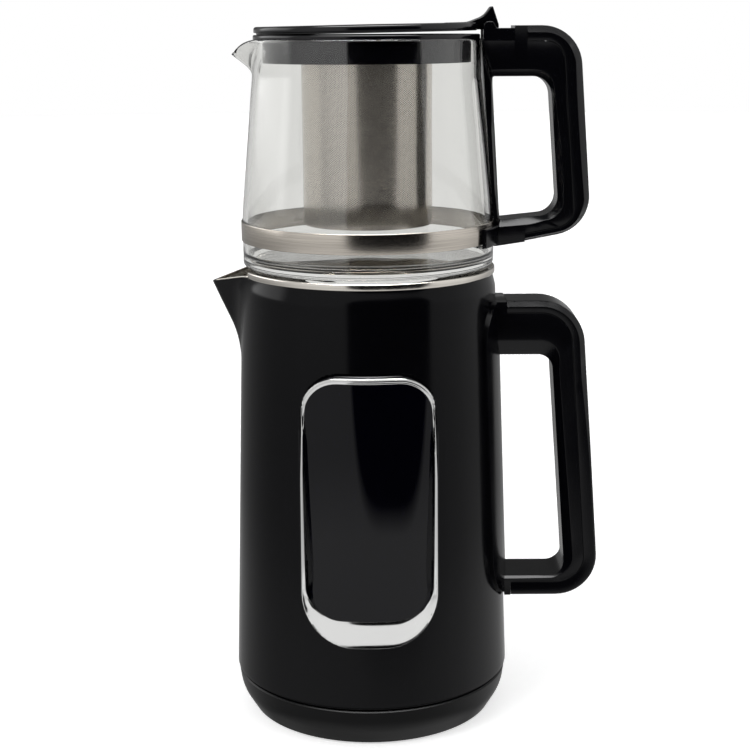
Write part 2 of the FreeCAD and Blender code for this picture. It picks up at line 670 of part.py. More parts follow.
def ring_slot(body, name, middle, width, top, depth):
    """Cut an annular slot down from a height."""
    cut = new_sketch(body, "XZ", name)
    outline(
        cut,
        (
            (f"{middle} - {width} / 2", f"{top} - {depth}"),
            (f"{middle} + {width} / 2", f"{top} - {depth}"),
            (f"{middle} + {width} / 2", f"{top} + {BEYOND}"),
            (f"{middle} - {width} / 2", f"{top} + {BEYOND}"),
        ),
    )
    return turn(body, cut, "Groove")


def make_base_connector():
    """Round plug tower with two ring slots and a centre hole."""
    body = new_body("base_connector")
    section = new_sketch(body, "XZ", "tower_section")
    outline(
        section,
        (
            ("0", "tower_bottom"),
            ("tower_radius - tower_waist", "tower_bottom"),
            ("tower_radius - tower_waist", f"{DECK_UNDER} - tower_flange"),
            ("tower_flange_radius", f"{DECK_UNDER} - tower_flange"),
            ("tower_flange_radius", DECK_UNDER),
            ("tower_radius", DECK_UNDER),
            ("tower_radius", "tower_top - tower_edge", "tower_edge"),
            ("tower_radius - tower_edge", "tower_top"),
            ("0", "tower_top"),
        ),
    )
    turn(body, section)
    ring_slot(body, "tower_inner_slot", "inner_slot_radius", "slot_width", "tower_top", "slot_depth")
    ring_slot(body, "tower_outer_slot", "outer_slot_radius", "slot_width", "tower_top", "slot_depth")
    hole = new_sketch(body, "XY", "tower_hole", "tower_top")
    circle(hole, "0", "0", "pin_slot_radius")
    raise_sketch(body, hole, "slot_depth", "Pocket")
    return body


def make_base_terminals():
    """Tab terminals under the tower."""
    body = new_body("base_terminals")
    body.AllowCompound = True
    tab = new_sketch(body, "XY", "tab_outline", "tower_bottom - terminal_length")
    half = "terminal_width / 2"
    outline(
        tab,
        (
            ("terminal_circle", f"-{half}"),
            ("terminal_circle + terminal_thickness", f"-{half}"),
            ("terminal_circle + terminal_thickness", half),
            ("terminal_circle", half),
        ),
    )
    blade = raise_sketch(body, tab, "terminal_length")
    repeat(body, blade, "3")
    return body


# ---------------------------------------------------------------- kettle body

SHELL_BOTTOM = "base_height + seam_gap"
COVER_TOP = "cover_height + cover_thickness"
LAND_BOTTOM = "shell_top - shell_wall"
SPOUT_STEPS = (
    ("start", "spout_start", "spout_start_reach"),
    ("low", "spout_low", "spout_low_reach"),
    ("middle", "spout_middle", "spout_middle_reach"),
    ("high", "spout_high", "spout_high_reach"),
)
LIP_STEPS = (
    ("start", "lip_start", "lip_start_reach"),
    ("middle", "lip_middle", "lip_middle_reach"),
    ("high", "lip_high", "lip_high_reach"),
    ("top", "lip_top", "lip_top_reach"),
)


def beak(body, name, steps, nose, angle, back, inset, kind):
    """A V-shaped beak to -X: a loft of rounded wedges, one per height.

    Every wedge has its nose at the reach of its step, two straight sides at
    the half angle and a flat back inside the vessel. An inset moves sides
    and nose inwards alike, for the wall's inner face.
    """
    sections = []
    for step, height, reach in steps:
        wedge = new_sketch(body, "XY", f"{name}_{step}", height)
        tip = f"(-{reach} + {nose})"
        bend = f"({nose} - ({inset}))"
        touch = f"{tip} - {bend} * sin({angle})"
        half = f"{bend} * cos({angle})"
        wide = f"{half} + (-({back}) - ({touch})) * tan({angle})"
        outline(
            wedge,
            (
                (touch, half, bend),
                (touch, f"-({half})"),
                (f"-({back})", f"-({wide})"),
                (f"-({back})", wide),
            ),
        )
        sections.append(wedge)
    return loft(body, sections, kind)


def lip_cut(body, name, tip_reach, tip_height, root_reach, root_height):
    """Cut a beak off above the straight line from its root to its tip."""
    slope = f"(({root_height}) - ({tip_height})) / ({tip_reach} - ({root_reach}))"
    far_drop = f"{tip_height} - {FAR} * {slope}"
    cut = new_sketch(body, "XZ", name)
    outline(
        cut,
        (
            ("0", root_height),
            ("0", f"{root_height} + {FAR}"),
            (f"-({tip_reach} + {FAR})", f"{root_height} + {FAR}"),
            (f"-({tip_reach} + {FAR})", far_drop),
            (f"-({root_reach})", root_height),
        ),
    )
    return raise_sketch(body, cut, FAR, "Pocket", both=True)


def make_kettle_shell():
    """Tapered outer shell with a beak, a window opening and a handle seat."""
    body = new_body("kettle_shell")
    solid = new_sketch(body, "XZ", "shell_section")
    outline(
        solid,
        (
            ("0", SHELL_BOTTOM),
            ("shell_low_radius - shell_edge", SHELL_BOTTOM, "shell_edge"),
            ("shell_low_radius", f"{SHELL_BOTTOM} + shell_edge"),
            ("shell_low_radius", "shell_low_height"),
            ("shell_high_radius", "shell_high_height", "shoulder_bend"),
            ("shell_top_radius", "shell_top"),
            ("0", "shell_top"),
        ),
    )
    turn(body, solid)
    beak(body, "shell_beak", SPOUT_STEPS, "spout_nose", "spout_angle", "spout_back", "0",
         "AdditiveLoft")
    lip_cut(body, "shell_lip", "spout_tip_reach", "spout_tip_height",
            "shell_top_radius", "shell_top")
    hollow = new_sketch(body, "XZ", "shell_hollow")
    outline(
        hollow,
        (
            ("0", f"{SHELL_BOTTOM} - {BEYOND}"),
            ("shell_low_radius - shell_wall", f"{SHELL_BOTTOM} - {BEYOND}"),
            ("shell_low_radius - shell_wall", "shell_low_height"),
            (shell_at(LAND_BOTTOM, "-shell_wall"), LAND_BOTTOM),
            ("shell_top_radius - shell_land", LAND_BOTTOM),
            ("shell_top_radius - shell_land", f"shell_top + {BEYOND}"),
            ("0", f"shell_top + {BEYOND}"),
        ),
    )
    turn(body, hollow, "Groove")
    beak(body, "shell_throat", SPOUT_STEPS, "spout_nose", "spout_angle", "spout_back", "spout_wall",
         "SubtractiveLoft")
    boss = new_sketch(body, "XY", "shell_boss", COVER_TOP)
    circle(boss, "cover_boss_circle", "0", "cover_boss_radius")
    circle(boss, "cover_boss_circle", "0", "screw_radius")
    post = raise_sketch(body, boss, "cover_boss_length")
    repeat(body, post, "cover_screw_count")
    screw_holes(body, "shell_screw", "screw_radius + fit_gap")
    opening = new_sketch(body, "XZ", "shell_window")
    outline(opening, bezel_corners("fit_gap"))
    raise_sketch(body, opening, FAR, "Pocket", back=True)
    return body


def screw_heights():
    """Heights of the handle's two screws, in the middle of its arms."""
    return ("(hole_top + grip_top) / 2", "(hole_bottom + grip_bottom + cap_low_depth) / 2")


def screw_holes(body, name, radius, depth=FAR):
    """Bore towards +X for the handle's screws, from the gap round the pot."""
    for index, height in enumerate(screw_heights()):
        hole = new_sketch(body, "YZ", f"{name}_{index}", "bore_start")
        circle(hole, "0", height, radius)
        raise_sketch(body, hole, depth, "Pocket", back=True)


def bezel_corners(grow):
    """Corners of the display opening, arcs at all four corners."""
    side = f"(window_half_width + bezel_side + {grow})"
    low = f"(window_bottom - bezel_bottom - {grow})"
    high = f"(window_top + bezel_top + {grow})"
    return rounded_rectangle(
        side,
        low,
        high,
        f"(window_low_corner + bezel_corner + {grow})",
        f"(window_high_corner + bezel_corner + {grow})",
    )


def rounded_rectangle(side, low, high, low_round, high_round):
    """Corners of an upright rectangle with rounded corners."""
    return (
        (f"-({side}) + {low_round}", low),
        (f"{side} - {low_round}", low, low_round),
        (side, f"{low} + {low_round}"),
        (side, f"{high} - {high_round}", high_round),
        (f"{side} - {high_round}", high),
        (f"-({side}) + {high_round}", high, high_round),
        (f"-({side})", f"{high} - {high_round}"),
        (f"-({side})", f"{low} + {low_round}", low_round),
    )


def make_kettle_pot():
    """Deep-drawn steel pot with a ledge, a rolled rim and a lined spout."""
    body = new_body("kettle_pot")
    under = "ledge_height - pot_wall"
    solid = new_sketch(body, "XZ", "pot_section")
    outline(
        solid,
        (
            ("0", "pot_floor"),
            ("pot_radius - pot_corner", "pot_floor", "pot_corner"),
            ("pot_radius", "pot_floor + pot_corner"),
            ("pot_radius", under),
            ("0", under),
        ),
    )
    turn(body, solid)
    beak(body, "pot_beak", SPOUT_STEPS, "spout_nose", "spout_angle", "spout_back",
         "spout_wall + lining_gap", "AdditiveLoft")
    lip_cut(body, "pot_lip", "spout_tip_reach", "spout_tip_height + lining_proud",
            "shell_top_radius", "shell_top + lining_proud")
    rim = new_sketch(body, "XZ", "pot_rim")
    outline(
        rim,
        (
            ("0", under),
            ("bead_inner_radius", under),
            ("bead_inner_radius", "shell_top + fit_gap"),
            ("bead_radius - bead_bevel", "shell_top + fit_gap"),
            ("bead_radius", "ledge_height"),
            ("bead_radius - bead_bevel", "bead_top - bead_bevel"),
            ("bead_inner_radius + 2 * bead_bevel", "bead_top"),
            ("bead_inner_radius", "bead_top - bead_bevel"),
            ("bead_inner_radius", "ledge_height"),
            ("0", "ledge_height"),
        ),
    )
    turn(body, rim)
    hollow = new_sketch(body, "XZ", "pot_hollow")
    outline(
        hollow,
        (
            ("0", "pot_floor + pot_wall"),
            ("pot_radius - pot_corner", "pot_floor + pot_wall", "pot_corner - pot_wall"),
            ("pot_radius - pot_wall", "pot_floor + pot_corner"),
            ("pot_radius - pot_wall", f"bead_top + {BEYOND}"),
            ("0", f"bead_top + {BEYOND}"),
        ),
    )
    turn(body, hollow, "Groove")
    beak(body, "pot_throat", SPOUT_STEPS, "spout_nose", "spout_angle", "spout_back",
         "spout_wall + pot_wall", "SubtractiveLoft")
    return body


def make_ring(label, inner, outer, bottom, top):
    """A plain turned ring of rectangular section."""
    body = new_body(label)
    section = new_sketch(body, "XZ", label + "_section")
    outline(section, ((inner, bottom), (outer, bottom), (outer, top), (inner, top)))
    turn(body, section)
    return body


def make_pot_seal():
    """Silicone ring between the shell's land and the pot's ledge."""
    body = make_ring(
        "pot_seal",
        "shell_top_radius - shell_land",
        "bead_inner_radius - fit_gap",
        "shell_top",
        "ledge_height - pot_wall",
    )
    beak(body, "seal_throat", SPOUT_STEPS, "spout_nose", "spout_angle", "spout_back", "spout_wall",
         "SubtractiveLoft")
    return body


def make_heater_plate():
    """Aluminium plate brazed under the pot."""
    return make_ring(
        "heater_plate", "0", "heater_radius", "pot_floor - heater_thickness", "pot_floor"
    )


HEATER_UNDER = "pot_floor - heater_thickness"


def make_heating_element():
    """C-shaped sheathed element with two cold pins."""
    body = new_body("heating_element")
    half = "element_width / 2"
    shoulder = f"{HEATER_UNDER} - element_drop + {half}"
    section = new_sketch(body, "XZ", "element_section")
    outline(
        section,
        (
            (f"element_radius - {half}", shoulder, f"{half} + {SLACK}"),
            (f"element_radius + {half}", shoulder),
            (f"element_radius + {half}", HEATER_UNDER),
            (f"element_radius - {half}", HEATER_UNDER),
        ),
    )
    turn(body, section, "Revolution", "element_sweep")
    reach = "(element_sweep / 2 - element_pin_turn)"
    for name, sign in (("left", "-"), ("right", "")):
        pin = new_sketch(
            body, "XY", f"element_pin_{name}", f"{shoulder} - element_pin_length - {half}"
        )
        circle(
            pin,
            f"element_radius * cos({reach})",
            f"{sign}element_radius * sin({reach})",
            "element_pin_radius",
        )
        raise_sketch(body, pin, f"element_pin_length + {half}")
    return body


def make_control_housing():
    """Thermostat housing under the heater plate, with a pocket for the disc."""
    body = new_body("control_housing")
    section = new_sketch(body, "XZ", "control_section")
    outline(
        section,
        (
            ("0", "control_bottom"),
            ("control_radius", "control_bottom"),
            ("control_radius", HEATER_UNDER),
            ("bimetal_radius + bimetal_clearance", HEATER_UNDER),
            ("bimetal_radius + bimetal_clearance",
             f"{HEATER_UNDER} - bimetal_rise - bimetal_thickness"),
            ("0", f"{HEATER_UNDER} - bimetal_rise - bimetal_thickness"),
        ),
    )
    turn(body, section)
    return body


def make_bimetal_disc():
    """Domed snap disc that feels the heater plate."""
    body = new_body("bimetal_disc")
    section = new_sketch(body, "XZ", "disc_section")
    rim = f"{HEATER_UNDER} - bimetal_rise - bimetal_thickness"
    bend = "(bimetal_radius * bimetal_radius + bimetal_rise * bimetal_rise) / (2 * bimetal_rise)"
    outline(
        section,
        (
            ("0", f"{rim} + bimetal_rise"),
            ("0", f"{HEATER_UNDER}", f"-({bend})"),
            ("bimetal_radius", f"{rim} + bimetal_thickness"),
            ("bimetal_radius", rim, f"({bend})"),
        ),
    )
    turn(body, section)
    return body


def make_kettle_connector():
    """Ring blades and centre pin that plug over the tower's slots."""
    body = new_body("kettle_connector")
    section = new_sketch(body, "XZ", "socket_section")
    outline(
        section,
        (
            ("0", "socket_bottom"),
            ("socket_radius", "socket_bottom"),
            ("socket_radius", "control_bottom"),
            ("0", "control_bottom"),
        ),
    )
    turn(body, section)
    for name, middle in (("inner", "inner_slot_radius"), ("outer", "outer_slot_radius")):
        blade = new_sketch(body, "XY", f"blade_{name}", "socket_bottom - blade_length")
        circle(blade, "0", "0", f"{middle} + blade_thickness / 2")
        circle(blade, "0", "0", f"{middle} - blade_thickness / 2")
        raise_sketch(body, blade, "blade_length")
    pin = new_sketch(body, "XY", "centre_pin", "socket_bottom - blade_length")
    circle(pin, "0", "0", "centre_pin_radius")
    raise_sketch(body, pin, "blade_length")
    return body


def make_kettle_base_cover():
    """Bottom cover with a skid ring and the well round the connector."""
    body = new_body("kettle_base_cover")
    section = new_sketch(body, "XZ", "cover_section")
    outline(
        section,
        (
            ("well_radius", "cover_height"),
            ("skid_radius - skid_width", "cover_height"),
            ("skid_radius - skid_width", "deck_height"),
            ("skid_radius", "deck_height"),
            ("skid_radius", "cover_height"),
            ("shell_low_radius - shell_wall - fit_gap", "cover_height"),
            ("shell_low_radius - shell_wall - fit_gap", COVER_TOP),
            ("well_radius + well_wall", COVER_TOP),
            ("well_radius + well_wall", "control_bottom"),
            ("well_radius", "control_bottom"),
        ),
    )
    turn(body, section)
    hole = new_sketch(body, "XY", "cover_hole", "cover_height")
    circle(hole, "cover_boss_circle", "0", "screw_radius + fit_gap")
    bore = raise_sketch(body, hole, "cover_thickness", "Pocket", back=True)
    repeat(body, bore, "cover_screw_count")
    return body


# ------------------------------------------------------------- display window


def make_front_panel():
    """Curved dark window: an upright plate turned down to two radii."""
    body = new_body("front_panel")
    plate = new_sketch(body, "XZ", "window_outline")
    outline(
        plate,
        rounded_rectangle(
            "(window_half_width - fit_gap)",
            "(window_bottom + fit_gap)",
            "(window_top - fit_gap)",
            "window_low_corner",
            "window_high_corner",
        ),
    )
    raise_sketch(body, plate, f"window_radius + {BEYOND}")
    outer = new_sketch(body, "XZ", "window_outer")
    inner_face = "window_radius - window_thickness"
    outline(
        outer,
        (
            ("window_radius", "0"),
            (FAR, "0"),
            (FAR, "shell_top"),
            ("window_radius", "shell_top"),
        ),
    )
    turn(body, outer, "Groove")
    inner = new_sketch(body, "XZ", "window_inner")
    outline(
        inner,
        (("0", "0"), (inner_face, "0"), (inner_face, "shell_top"), ("0", "shell_top")),
    )
    turn(body, inner, "Groove")
    return body


def window_curve(side, low, high, low_round, high_round, depth_at):
    """Closed chain of eight curves: a rounded rectangle laid on a round wall.

    The outline is drawn in the XZ plane; each point then goes to the wall's
    front, y = -sqrt(radius(z)^2 - x^2). Straight stretches and corners take
    turns, beginning with the lower edge and running against the clock.
    """

    def place(x, z):
        return FreeCAD.Vector(x, -math.sqrt(depth_at(z) ** 2 - x * x), z)

    def stretch(x1, z1, x2, z2, steps=6):
        shares = [i / steps for i in range(steps + 1)]
        return [place(x1 + (x2 - x1) * s, z1 + (z2 - z1) * s) for s in shares]

    def corner(x, z, bend, first, steps=6):
        angles = [math.radians(first + 90 * i / steps) for i in range(steps + 1)]
        return [place(x + bend * math.cos(a), z + bend * math.sin(a)) for a in angles]

    runs = (
        stretch(-side + low_round, low, side - low_round, low),
        corner(side - low_round, low + low_round, low_round, -90),
        stretch(side, low + low_round, side, high - high_round),
        corner(side - high_round, high - high_round, high_round, 0),
        stretch(side - high_round, high, -side + high_round, high),
        corner(-side + high_round, high - high_round, high_round, 90),
        stretch(-side, high - high_round, -side, low + low_round),
        corner(-side + low_round, low + low_round, low_round, 180),
    )
    edges = []
    for points in runs:
        curve = Part.BSplineCurve()
        curve.interpolate(points)
        edges.append(curve.toShape())
    return edges


def make_panel_frame():
    """Chrome frame: four ruled skins between the window and the shell.

    The outer edge follows the tapering shell and the inner edge the upright
    window, so the front face is narrow at the sides and opens to a broad
    shelf under the window.
    """
    gap = number("fit_gap")
    side = number("window_half_width")
    low = number("window_bottom")
    high = number("window_top")
    low_round = number("window_low_corner")
    high_round = number("window_high_corner")
    more = number("bezel_side")
    rounder = number("bezel_corner")

    def on_shell(z):
        return number(shell_at(z, "bezel_proud"))

    def on_window(z):
        return number("window_radius + bezel_lip")

    def on_back(z):
        return number("bezel_back")

    inner = (side, low, high, low_round + gap, high_round + gap)
    outer = (
        side + more,
        low - number("bezel_bottom"),
        high + number("bezel_top"),
        low_round + rounder,
        high_round + rounder,
    )
    rings = (
        window_curve(*outer, on_shell),
        window_curve(*inner, on_window),
        window_curve(*inner, on_back),
        window_curve(*outer, on_back),
    )
    faces = []
    for first, second in zip(rings, rings[1:] + rings[:1]):
        for edge, other in zip(first, second):
            faces.append(Part.makeRuledSurface(edge, other))
    shell = Part.makeShell(faces)
    shell.sewShape()
    solid = Part.makeSolid(shell)
    if solid.Volume < 0:
        solid.reverse()
    frame = doc.addObject("Part::Feature", "panel_frame")
    frame.Label = "panel_frame"
    frame.Shape = solid
    frame.Placement = FreeCAD.Placement()
    nodes.append(frame)
    return frame


WINDOW_BACK = "(window_radius - window_thickness - board_gap)"
BOARD_FACE = f"sqrt({WINDOW_BACK} ^ 2 - board_half_width ^ 2)"


def make_control_board():
    """Circuit board of the touch keys behind the window."""
    body = new_body("control_board")
    board = new_sketch(body, "XZ", "board_outline", f"{BOARD_FACE} - board_thickness")
    top = "board_bottom + board_length"
    outline(
        board,
        (
            ("-board_half_width", "board_bottom"),
            ("board_half_width", "board_bottom"),
            ("board_half_width", top),
            ("-board_half_width", top),
        ),
    )
    raise_sketch(body, board, "board_thickness")
    return body


def make_ribbon_cable():
    """Flat cable from the board down and in to the thermostat housing."""
    body = new_body("ribbon_cable")
    run = new_sketch(body, "YZ", "ribbon_path")
    back = f"-({BOARD_FACE} - board_thickness)"
    low = "control_bottom + ribbon_lift"
    outline(
        run,
        (
            (f"{back} - ribbon_thickness", "board_bottom"),
            (f"{back} - ribbon_thickness", low),
            ("-control_radius", low),
            ("-control_radius", f"{low} + ribbon_thickness"),
            (back, f"{low} + ribbon_thickness"),
            (back, "board_bottom"),
        ),
    )
    raise_sketch(body, run, "ribbon_width", both=True)
    return body


# -------------------------------------------------------------- kettle handle


def band_outside(body, name, radius_low, radius_high, bottom, top):
    """Groove away everything outside a cone between two heights."""
    cut = new_sketch(body, "XZ", name)
    outline(
        cut,
        (
            (radius_low, bottom),
            (FAR, bottom),
            (FAR, top),
            (radius_high, top),
        ),
    )
    return turn(body, cut, "Groove")


def band_inside(body, name, radius_low, radius_high, bottom, top):
    """Groove away everything inside a cone between two heights."""
    cut = new_sketch(body, "XZ", name)
    outline(cut, (("0", bottom), (radius_low, bottom), (radius_high, top), ("0", top)))
    return turn(body, cut, "Groove")


def make_handle_mount():
    """Saddle plate on the shell that carries the handle."""
    body = new_body("handle_mount")
    plate = new_sketch(body, "YZ", "mount_outline")
    outline(
        plate,
        rounded_rectangle(
            "mount_half_width", "(grip_bottom + mount_rise)", "grip_top", "mount_corner",
            "mount_corner",
        ),
    )
    raise_sketch(body, plate, f"shell_low_radius + {BEYOND}")
    low = f"(grip_bottom - {BEYOND})"
    high = f"(shell_top + {BEYOND})"
    saddle = "mount_thickness"
    band_outside(body, "mount_outer", shell_at(low, saddle), shell_at(high, saddle), low, high)
    fit = "mount_fit"
    band_inside(body, "mount_inner", shell_at(low, fit), shell_at(high, fit), low, high)
    screw_holes(body, "mount_screw", "screw_radius + fit_gap")
    return body


def grip_line(height, inset="0"):
    """Expression for the kettle handle's outer edge at a height."""
    slope = "(grip_top_reach - grip_bottom_reach) / (grip_top - grip_bottom)"
    return f"grip_bottom_reach + (({height}) - grip_bottom) * {slope} - ({inset})"


def make_kettle_handle_frame():
    """Inner half of the kettle's C-shaped handle, hollow towards its cover."""
    body = new_body("kettle_handle_frame")
    inside = "grip_root"
    top = "grip_top - cap_depth"
    low = "grip_bottom + cap_low_depth"
    loop = new_sketch(body, "XZ", "frame_outline")
    outline(
        loop,
        (
            (inside, "grip_bottom"),
            ("cap_low_start - cap_gap", "grip_bottom"),
            ("cap_low_start - cap_gap", low),
            (grip_line(low, "cap_side"), low),
            (grip_line(top, "cap_side"), top),
            ("cap_high_start - cap_gap", top),
            ("cap_high_start - cap_gap", "grip_top"),
            (inside, "grip_top"),
        ),
    )
    raise_sketch(body, loop, "grip_width", both=True)
    opening = new_sketch(body, "XZ", "frame_opening")
    outline(
        opening,
        (
            (f"{inside} - {BEYOND}", "hole_bottom"),
            ("hole_bottom_reach", "hole_bottom"),
            ("hole_top_reach", "hole_top"),
            (f"{inside} - {BEYOND}", "hole_top"),
        ),
    )
    raise_sketch(body, opening, f"grip_width + {BEYOND}", "Pocket", both=True)
    dress(body, "Fillet", "hole_top_round", stands_at("hole_top_reach", "hole_top"))
    dress(body, "Fillet", "hole_bottom_round", stands_at("hole_bottom_reach", "hole_bottom"))
    dress(body, "Fillet", "grip_top_round - cap_side", stands_at(grip_line(top, "cap_side"), top))
    dress(
        body, "Fillet", "grip_bottom_round - cap_side", stands_at(grip_line(low, "cap_side"), low)
    )
    for index, height in enumerate(screw_heights()):
        hole = new_sketch(body, "YZ", f"frame_screw_{index}", "bore_start")
        circle(hole, "0", height, "screw_radius")
        reach = shell_at(height, "-shell_wall + screw_length - bore_start")
        raise_sketch(body, hole, reach, "Pocket", back=True)
    under = f"(grip_bottom - {BEYOND})"
    above = f"(shell_top + {BEYOND})"
    saddle = "mount_thickness"
    band_inside(body, "frame_seat", shell_at(under, saddle), shell_at(above, saddle), under, above)
    around = (
        (inside, "hole_bottom"),
        ("hole_bottom_reach", "hole_bottom"),
        ("hole_top_reach", "hole_top"),
        (inside, "hole_top"),
    )
    bends = ("hole_top_round", "hole_bottom_round")
    dress(body, "Chamfer", "grip_bevel", on_loop("grip_width / 2", around, bends))
    hollow = new_sketch(body, "XZ", "frame_hollow")
    outline(
        hollow,
        (
            ("cap_low_start + grip_wall", f"{top} + {BEYOND}"),
            ("cap_low_start + grip_wall", "hole_top + grip_wall"),
            ("hole_top_reach + grip_wall", "hole_top + grip_wall"),
            ("hole_bottom_reach + grip_wall", "hole_bottom + hollow_rise"),
            (f"grip_bottom_reach + {BEYOND}", "hole_bottom + hollow_rise"),
            (f"grip_bottom_reach + {BEYOND}", f"{top} + {BEYOND}"),
        ),
    )
    raise_sketch(body, hollow, "grip_width - 2 * (grip_bevel + grip_wall)", "Pocket", both=True)
    return body


def make_kettle_handle_cover():
    """Outer half of the kettle's handle, a C-shaped cap."""
    body = new_body("kettle_handle_cover")
    band = new_sketch(body, "XZ", "cap_outline")
    outline(
        band,
        (
            ("cap_low_start", "grip_bottom"),
            (grip_line("grip_bottom"), "grip_bottom"),
            (grip_line("grip_top"), "grip_top"),
            ("cap_high_start", "grip_top"),
        ),
    )
    raise_sketch(body, band, "grip_width", both=True)
    top = "grip_top - cap_depth + fit_gap"
    low = "grip_bottom + cap_low_depth - fit_gap"
    core = new_sketch(body, "XZ", "cap_core")
    inset = "cap_side - fit_gap"
    outline(
        core,
        (
            (f"cap_low_start - {BEYOND}", low),
            (grip_line(low, inset), low),
            (grip_line(top, inset), top),
            (f"cap_high_start - {BEYOND}", top),
        ),
    )
    raise_sketch(body, core, f"grip_width + {BEYOND}", "Pocket", both=True)
    dress(body, "Fillet", "grip_top_round - cap_side", stands_at(grip_line(top, inset), top))
    dress(body, "Fillet", "grip_bottom_round - cap_side", stands_at(grip_line(low, inset), low))
    dress(body, "Fillet", "grip_top_round", stands_at(grip_line("grip_top"), "grip_top"))
    dress(body, "Fillet", "grip_bottom_round", stands_at(grip_line("grip_bottom"), "grip_bottom"))
    around = (
        ("cap_low_start", "grip_bottom"),
        (grip_line("grip_bottom"), "grip_bottom"),
        (grip_line("grip_top"), "grip_top"),
        ("cap_high_start", "grip_top"),
    )
    bends = ("grip_top_round", "grip_bottom_round")
    dress(body, "Fillet", "grip_edge", on_loop("grip_width / 2", around, bends))
    return body


def make_kettle_handle_screws():
    """Two screws from inside the shell through the saddle into the handle."""
    body = new_body("kettle_handle_screws")
    body.AllowCompound = True
    for index, height in enumerate(screw_heights()):
        seat = shell_at(height, "-shell_wall - fit_gap")
        head = new_sketch(body, "YZ", f"handle_screw_head_{index}", f"{seat} - screw_head_height")
        circle(head, "0", height, "screw_head_radius")
        raise_sketch(body, head, "screw_head_height")
        shank = new_sketch(body, "YZ", f"handle_screw_shank_{index}", seat)
        circle(shank, "0", height, "screw_radius")
        raise_sketch(body, shank, "screw_length - bore_spare")
    return body


# --------------------------------------------------------------------- teapot

GLASS_INNER_FLOOR = "ledge_height + glass_floor"


def make_teapot_glass():
    """Blown glass jug with a thick floor and a pinched spout."""
    body = new_body("teapot_glass")
    solid = new_sketch(body, "XZ", "jug_section")
    outline(
        solid,
        (
            ("0", "ledge_height"),
            ("glass_foot", "ledge_height", "glass_foot_bend"),
            ("glass_radius", "ledge_height + glass_foot_bend"),
            ("glass_radius", "glass_straight_top", "glass_bend"),
            ("glass_bend_radius", "glass_bend_top"),
            ("glass_neck_radius", "glass_neck_height"),
            ("glass_rim_radius", "glass_top"),
            ("0", "glass_top"),
        ),
    )
    turn(body, solid)
    beak(body, "jug_beak", LIP_STEPS, "lip_nose", "lip_angle", "lip_back", "0", "AdditiveLoft")
    lip_cut(body, "jug_lip", "lip_tip_reach", "lip_tip_height", "glass_rim_radius", "glass_top")
    hollow = new_sketch(body, "XZ", "jug_hollow")
    outline(
        hollow,
        (
            ("0", GLASS_INNER_FLOOR),
            ("glass_foot - glass_wall", GLASS_INNER_FLOOR, "glass_foot_bend"),
            ("glass_radius - glass_wall", f"{GLASS_INNER_FLOOR} + glass_foot_bend"),
            ("glass_radius - glass_wall", "glass_straight_top", "glass_bend"),
            ("glass_bend_radius - glass_wall", "glass_bend_top"),
            ("glass_neck_radius - glass_wall", "glass_neck_height"),
            ("glass_rim_radius - glass_wall", f"glass_top + {BEYOND}"),
            ("0", f"glass_top + {BEYOND}"),
        ),
    )
    turn(body, hollow, "Groove")
    beak(body, "jug_throat", LIP_STEPS, "lip_nose", "lip_angle", "lip_back", "glass_wall",
         "SubtractiveLoft")
    return body


def make_teapot_band():
    """Steel strap round the lower part of the jug."""
    return make_ring(
        "teapot_band",
        "glass_radius + band_fit",
        "glass_radius + band_thickness",
        "band_bottom",
        "band_bottom + band_height",
    )


def arm_line(height, inset="0"):
    """Expression for the teapot handle's outer edge at a height."""
    slope = "(arm_top_reach - arm_bottom_reach) / (arm_top - arm_bottom)"
    return f"arm_bottom_reach + (({height}) - arm_bottom) * {slope} - ({inset})"


def belly_line(across, lift="0"):
    """Expression for the lower arm's sloping underside at a reach."""
    slope = "(arm_bottom - arm_foot) / (arm_bottom_reach - arm_foot_reach)"
    return f"arm_foot + (({across}) - arm_foot_reach) * {slope} + ({lift})"


